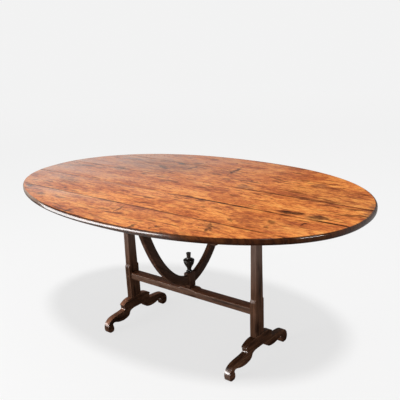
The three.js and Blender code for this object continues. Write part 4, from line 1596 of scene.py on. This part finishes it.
@dataclass
class Studio:
    """A pale floor that runs on to a pale background, and soft lamps at a plain level."""

    background: Colour = (0.890, 0.890, 0.890)
    near_glow: float = 1.065
    floor_colour: Colour = (0.86, 0.86, 0.86)
    floor_reach: float = 9.0
    fade_start: float = 3.0
    fade_end_share: float = 0.9
    glow_start: float = 0.5
    glow_end_share: float = 0.6
    shown_light: float = 0.26
    world_light: float = 0.30

    def build(self) -> None:
        """Sets up the world, the floor and the lamps."""
        self.world()
        self.floor()
        self.lamps()

    def world(self) -> None:
        """An even world: pale where it is seen or reflected, dimmer where it lights."""
        world = bpy.data.worlds.new("studio_world")
        bpy.context.scene.world = world
        world.use_nodes = True
        tree = world.node_tree
        tree.nodes.clear()
        path = tree.nodes.new("ShaderNodeLightPath")
        shown = path.outputs["Is Camera Ray"]
        for ray in ("Is Glossy Ray", "Is Transmission Ray"):
            either = tree.nodes.new("ShaderNodeMath")
            either.operation = "MAXIMUM"
            tree.links.new(shown, either.inputs[0])
            tree.links.new(path.outputs[ray], either.inputs[1])
            shown = either.outputs[0]
        blend = tree.nodes.new("ShaderNodeMixShader")
        tree.links.new(shown, blend.inputs[0])
        skies = (((1.0, 1.0, 1.0), self.world_light), (self.background, 1.0))
        for index, (colour, strength) in enumerate(skies, 1):
            sky = tree.nodes.new("ShaderNodeBackground")
            sky.inputs["Color"].default_value = (*colour, 1.0)
            sky.inputs["Strength"].default_value = strength
            tree.links.new(sky.outputs[0], blend.inputs[index])
        output = tree.nodes.new("ShaderNodeOutputWorld")
        tree.links.new(blend.outputs[0], output.inputs[0])

    def floor(self) -> None:
        """The floor disc, which fades into the background."""
        floor = Workpiece.disc("studio_floor", 96, self.floor_reach, (0, 0, 0))
        recipe = Recipe("studio_floor_paint")
        far = recipe.vector("LENGTH", recipe.place, output="Value")
        fade = far.rise(self.fade_start, self.floor_reach * self.fade_end_share)
        path = recipe.node("ShaderNodeLightPath", {}, {}, "Is Camera Ray")
        diffuse = recipe.node("ShaderNodeBsdfDiffuse", {}, {"Color": self.floor_colour})
        glow_end = self.floor_reach * self.glow_end_share
        strength = far.rise(self.glow_start, glow_end, self.near_glow, 1.0)
        glow = recipe.node("ShaderNodeEmission", {}, {"Color": self.background, "Strength": strength})
        steady = (fade * self.shown_light + (1 - self.shown_light)) * path
        shown = recipe.node("ShaderNodeMixShader", {}, {0: steady, 1: diffuse, 2: glow})
        recipe.tree.links.new(shown.socket, recipe.output.inputs[0])
        recipe.tree.nodes.remove(recipe.shader)
        floor.object.data.materials.append(recipe.material)

    def lamps(self) -> None:
        """A soft sun overhead, a soft box at the front left and two boxes for glints on the rim."""
        self.sun("overhead_sun", (0.25, -0.27, 1.0), 9.0, 2.2)
        self.box("front_box", (-1.3, -3.4, 0.7), (0, 0, 0.35), (1.8, 1.0), 60.0)
        self.glint_box("left_box", (-1.20, -1.78, 0.40), (-0.36, -1.24, 0.37), (2.6, 0.64), 137.0)
        self.glint_box("right_box", (2.13, -0.58, 1.27), (0.77, -0.26, 0.73), (0.7, 0.22), 100.0)

    @staticmethod
    def _hang(name: str, lamp: bpy.types.Light, backwards: Vector) -> bpy.types.Object:
        """Puts a lamp into the scene.

        Args:
            name: its name.
            lamp: the lamp.
            backwards: the direction that its light comes from.

        Returns:
            The lamp's object.
        """
        holder = bpy.data.objects.new(name, lamp)
        holder.rotation_euler = backwards.to_track_quat("Z", "Y").to_euler()
        bpy.context.scene.collection.objects.link(holder)
        return holder

    @staticmethod
    def sun(name: str, direction: Point, spread: float, strength: float) -> None:
        """A distant lamp.

        Args:
            name: its name.
            direction: towards it.
            spread: how wide it looks, in degrees.
            strength: its strength.
        """
        lamp = bpy.data.lights.new(name, "SUN")
        lamp.energy = strength
        lamp.angle = math.radians(spread)
        Studio._hang(name, lamp, Vector(direction))

    def glint_box(self, name: str, place: Point, target: Point, size: Point, power: float) -> None:
        """A soft box that shows in gloss only, so that it leaves the light on the floor even."""
        self.box(name, place, target, size, power).visible_diffuse = False

    @staticmethod
    def box(name: str, place: Point, target: Point, size: Point, power: float) -> bpy.types.Object:
        """A soft box.

        Args:
            name: its name.
            place: where it stands.
            target: what it points at.
            size: its width and height.
            power: its power in watts.

        Returns:
            The lamp's object.
        """
        lamp = bpy.data.lights.new(name, "AREA")
        lamp.shape = "RECTANGLE"
        lamp.size, lamp.size_y = size
        lamp.energy = power
        holder = Studio._hang(name, lamp, Vector(place) - Vector(target))
        holder.location = place
        holder.visible_camera = False
        return holder


@dataclass
class Viewpoint:
    """The camera, as the photograph was taken."""

    azimuth: float = 39.94
    elevation: float = 22.4
    roll: float = -2.82
    distance: float = 3.03783
    target: tuple[float, float, float] = (0.0, 0.0, 0.370)
    lens: float = 59.945
    sensor: float = 36.0
    shift: tuple[float, float] = (0.0273, 0.1622)

    def build(self) -> None:
        """Makes the camera and puts it in place."""
        camera = bpy.data.cameras.new("viewpoint")
        camera.sensor_fit = "HORIZONTAL"
        camera.sensor_width = self.sensor
        camera.lens = self.lens
        camera.shift_x, camera.shift_y = self.shift
        holder = bpy.data.objects.new("viewpoint", camera)
        turn = (
            Matrix.Rotation(math.radians(self.azimuth), 3, "Z")
            @ Matrix.Rotation(math.radians(90 - self.elevation), 3, "X")
            @ Matrix.Rotation(math.radians(self.roll), 3, "Z")
        )
        back = turn @ Vector((0, 0, 1))
        holder.location = Vector(self.target) + back * self.distance
        holder.rotation_euler = turn.to_euler()
        bpy.context.scene.collection.objects.link(holder)
        bpy.context.scene.camera = holder


def main() -> None:
    """Builds the table, the studio and the camera."""
    bpy.context.scene.view_settings.view_transform = "Standard"
    Viewpoint().build()
    for part in (TableTop(), Trestle(), Harp(), Ironwork()):
        part.build()
    Studio().build()


if __name__ == "__main__":
    main()
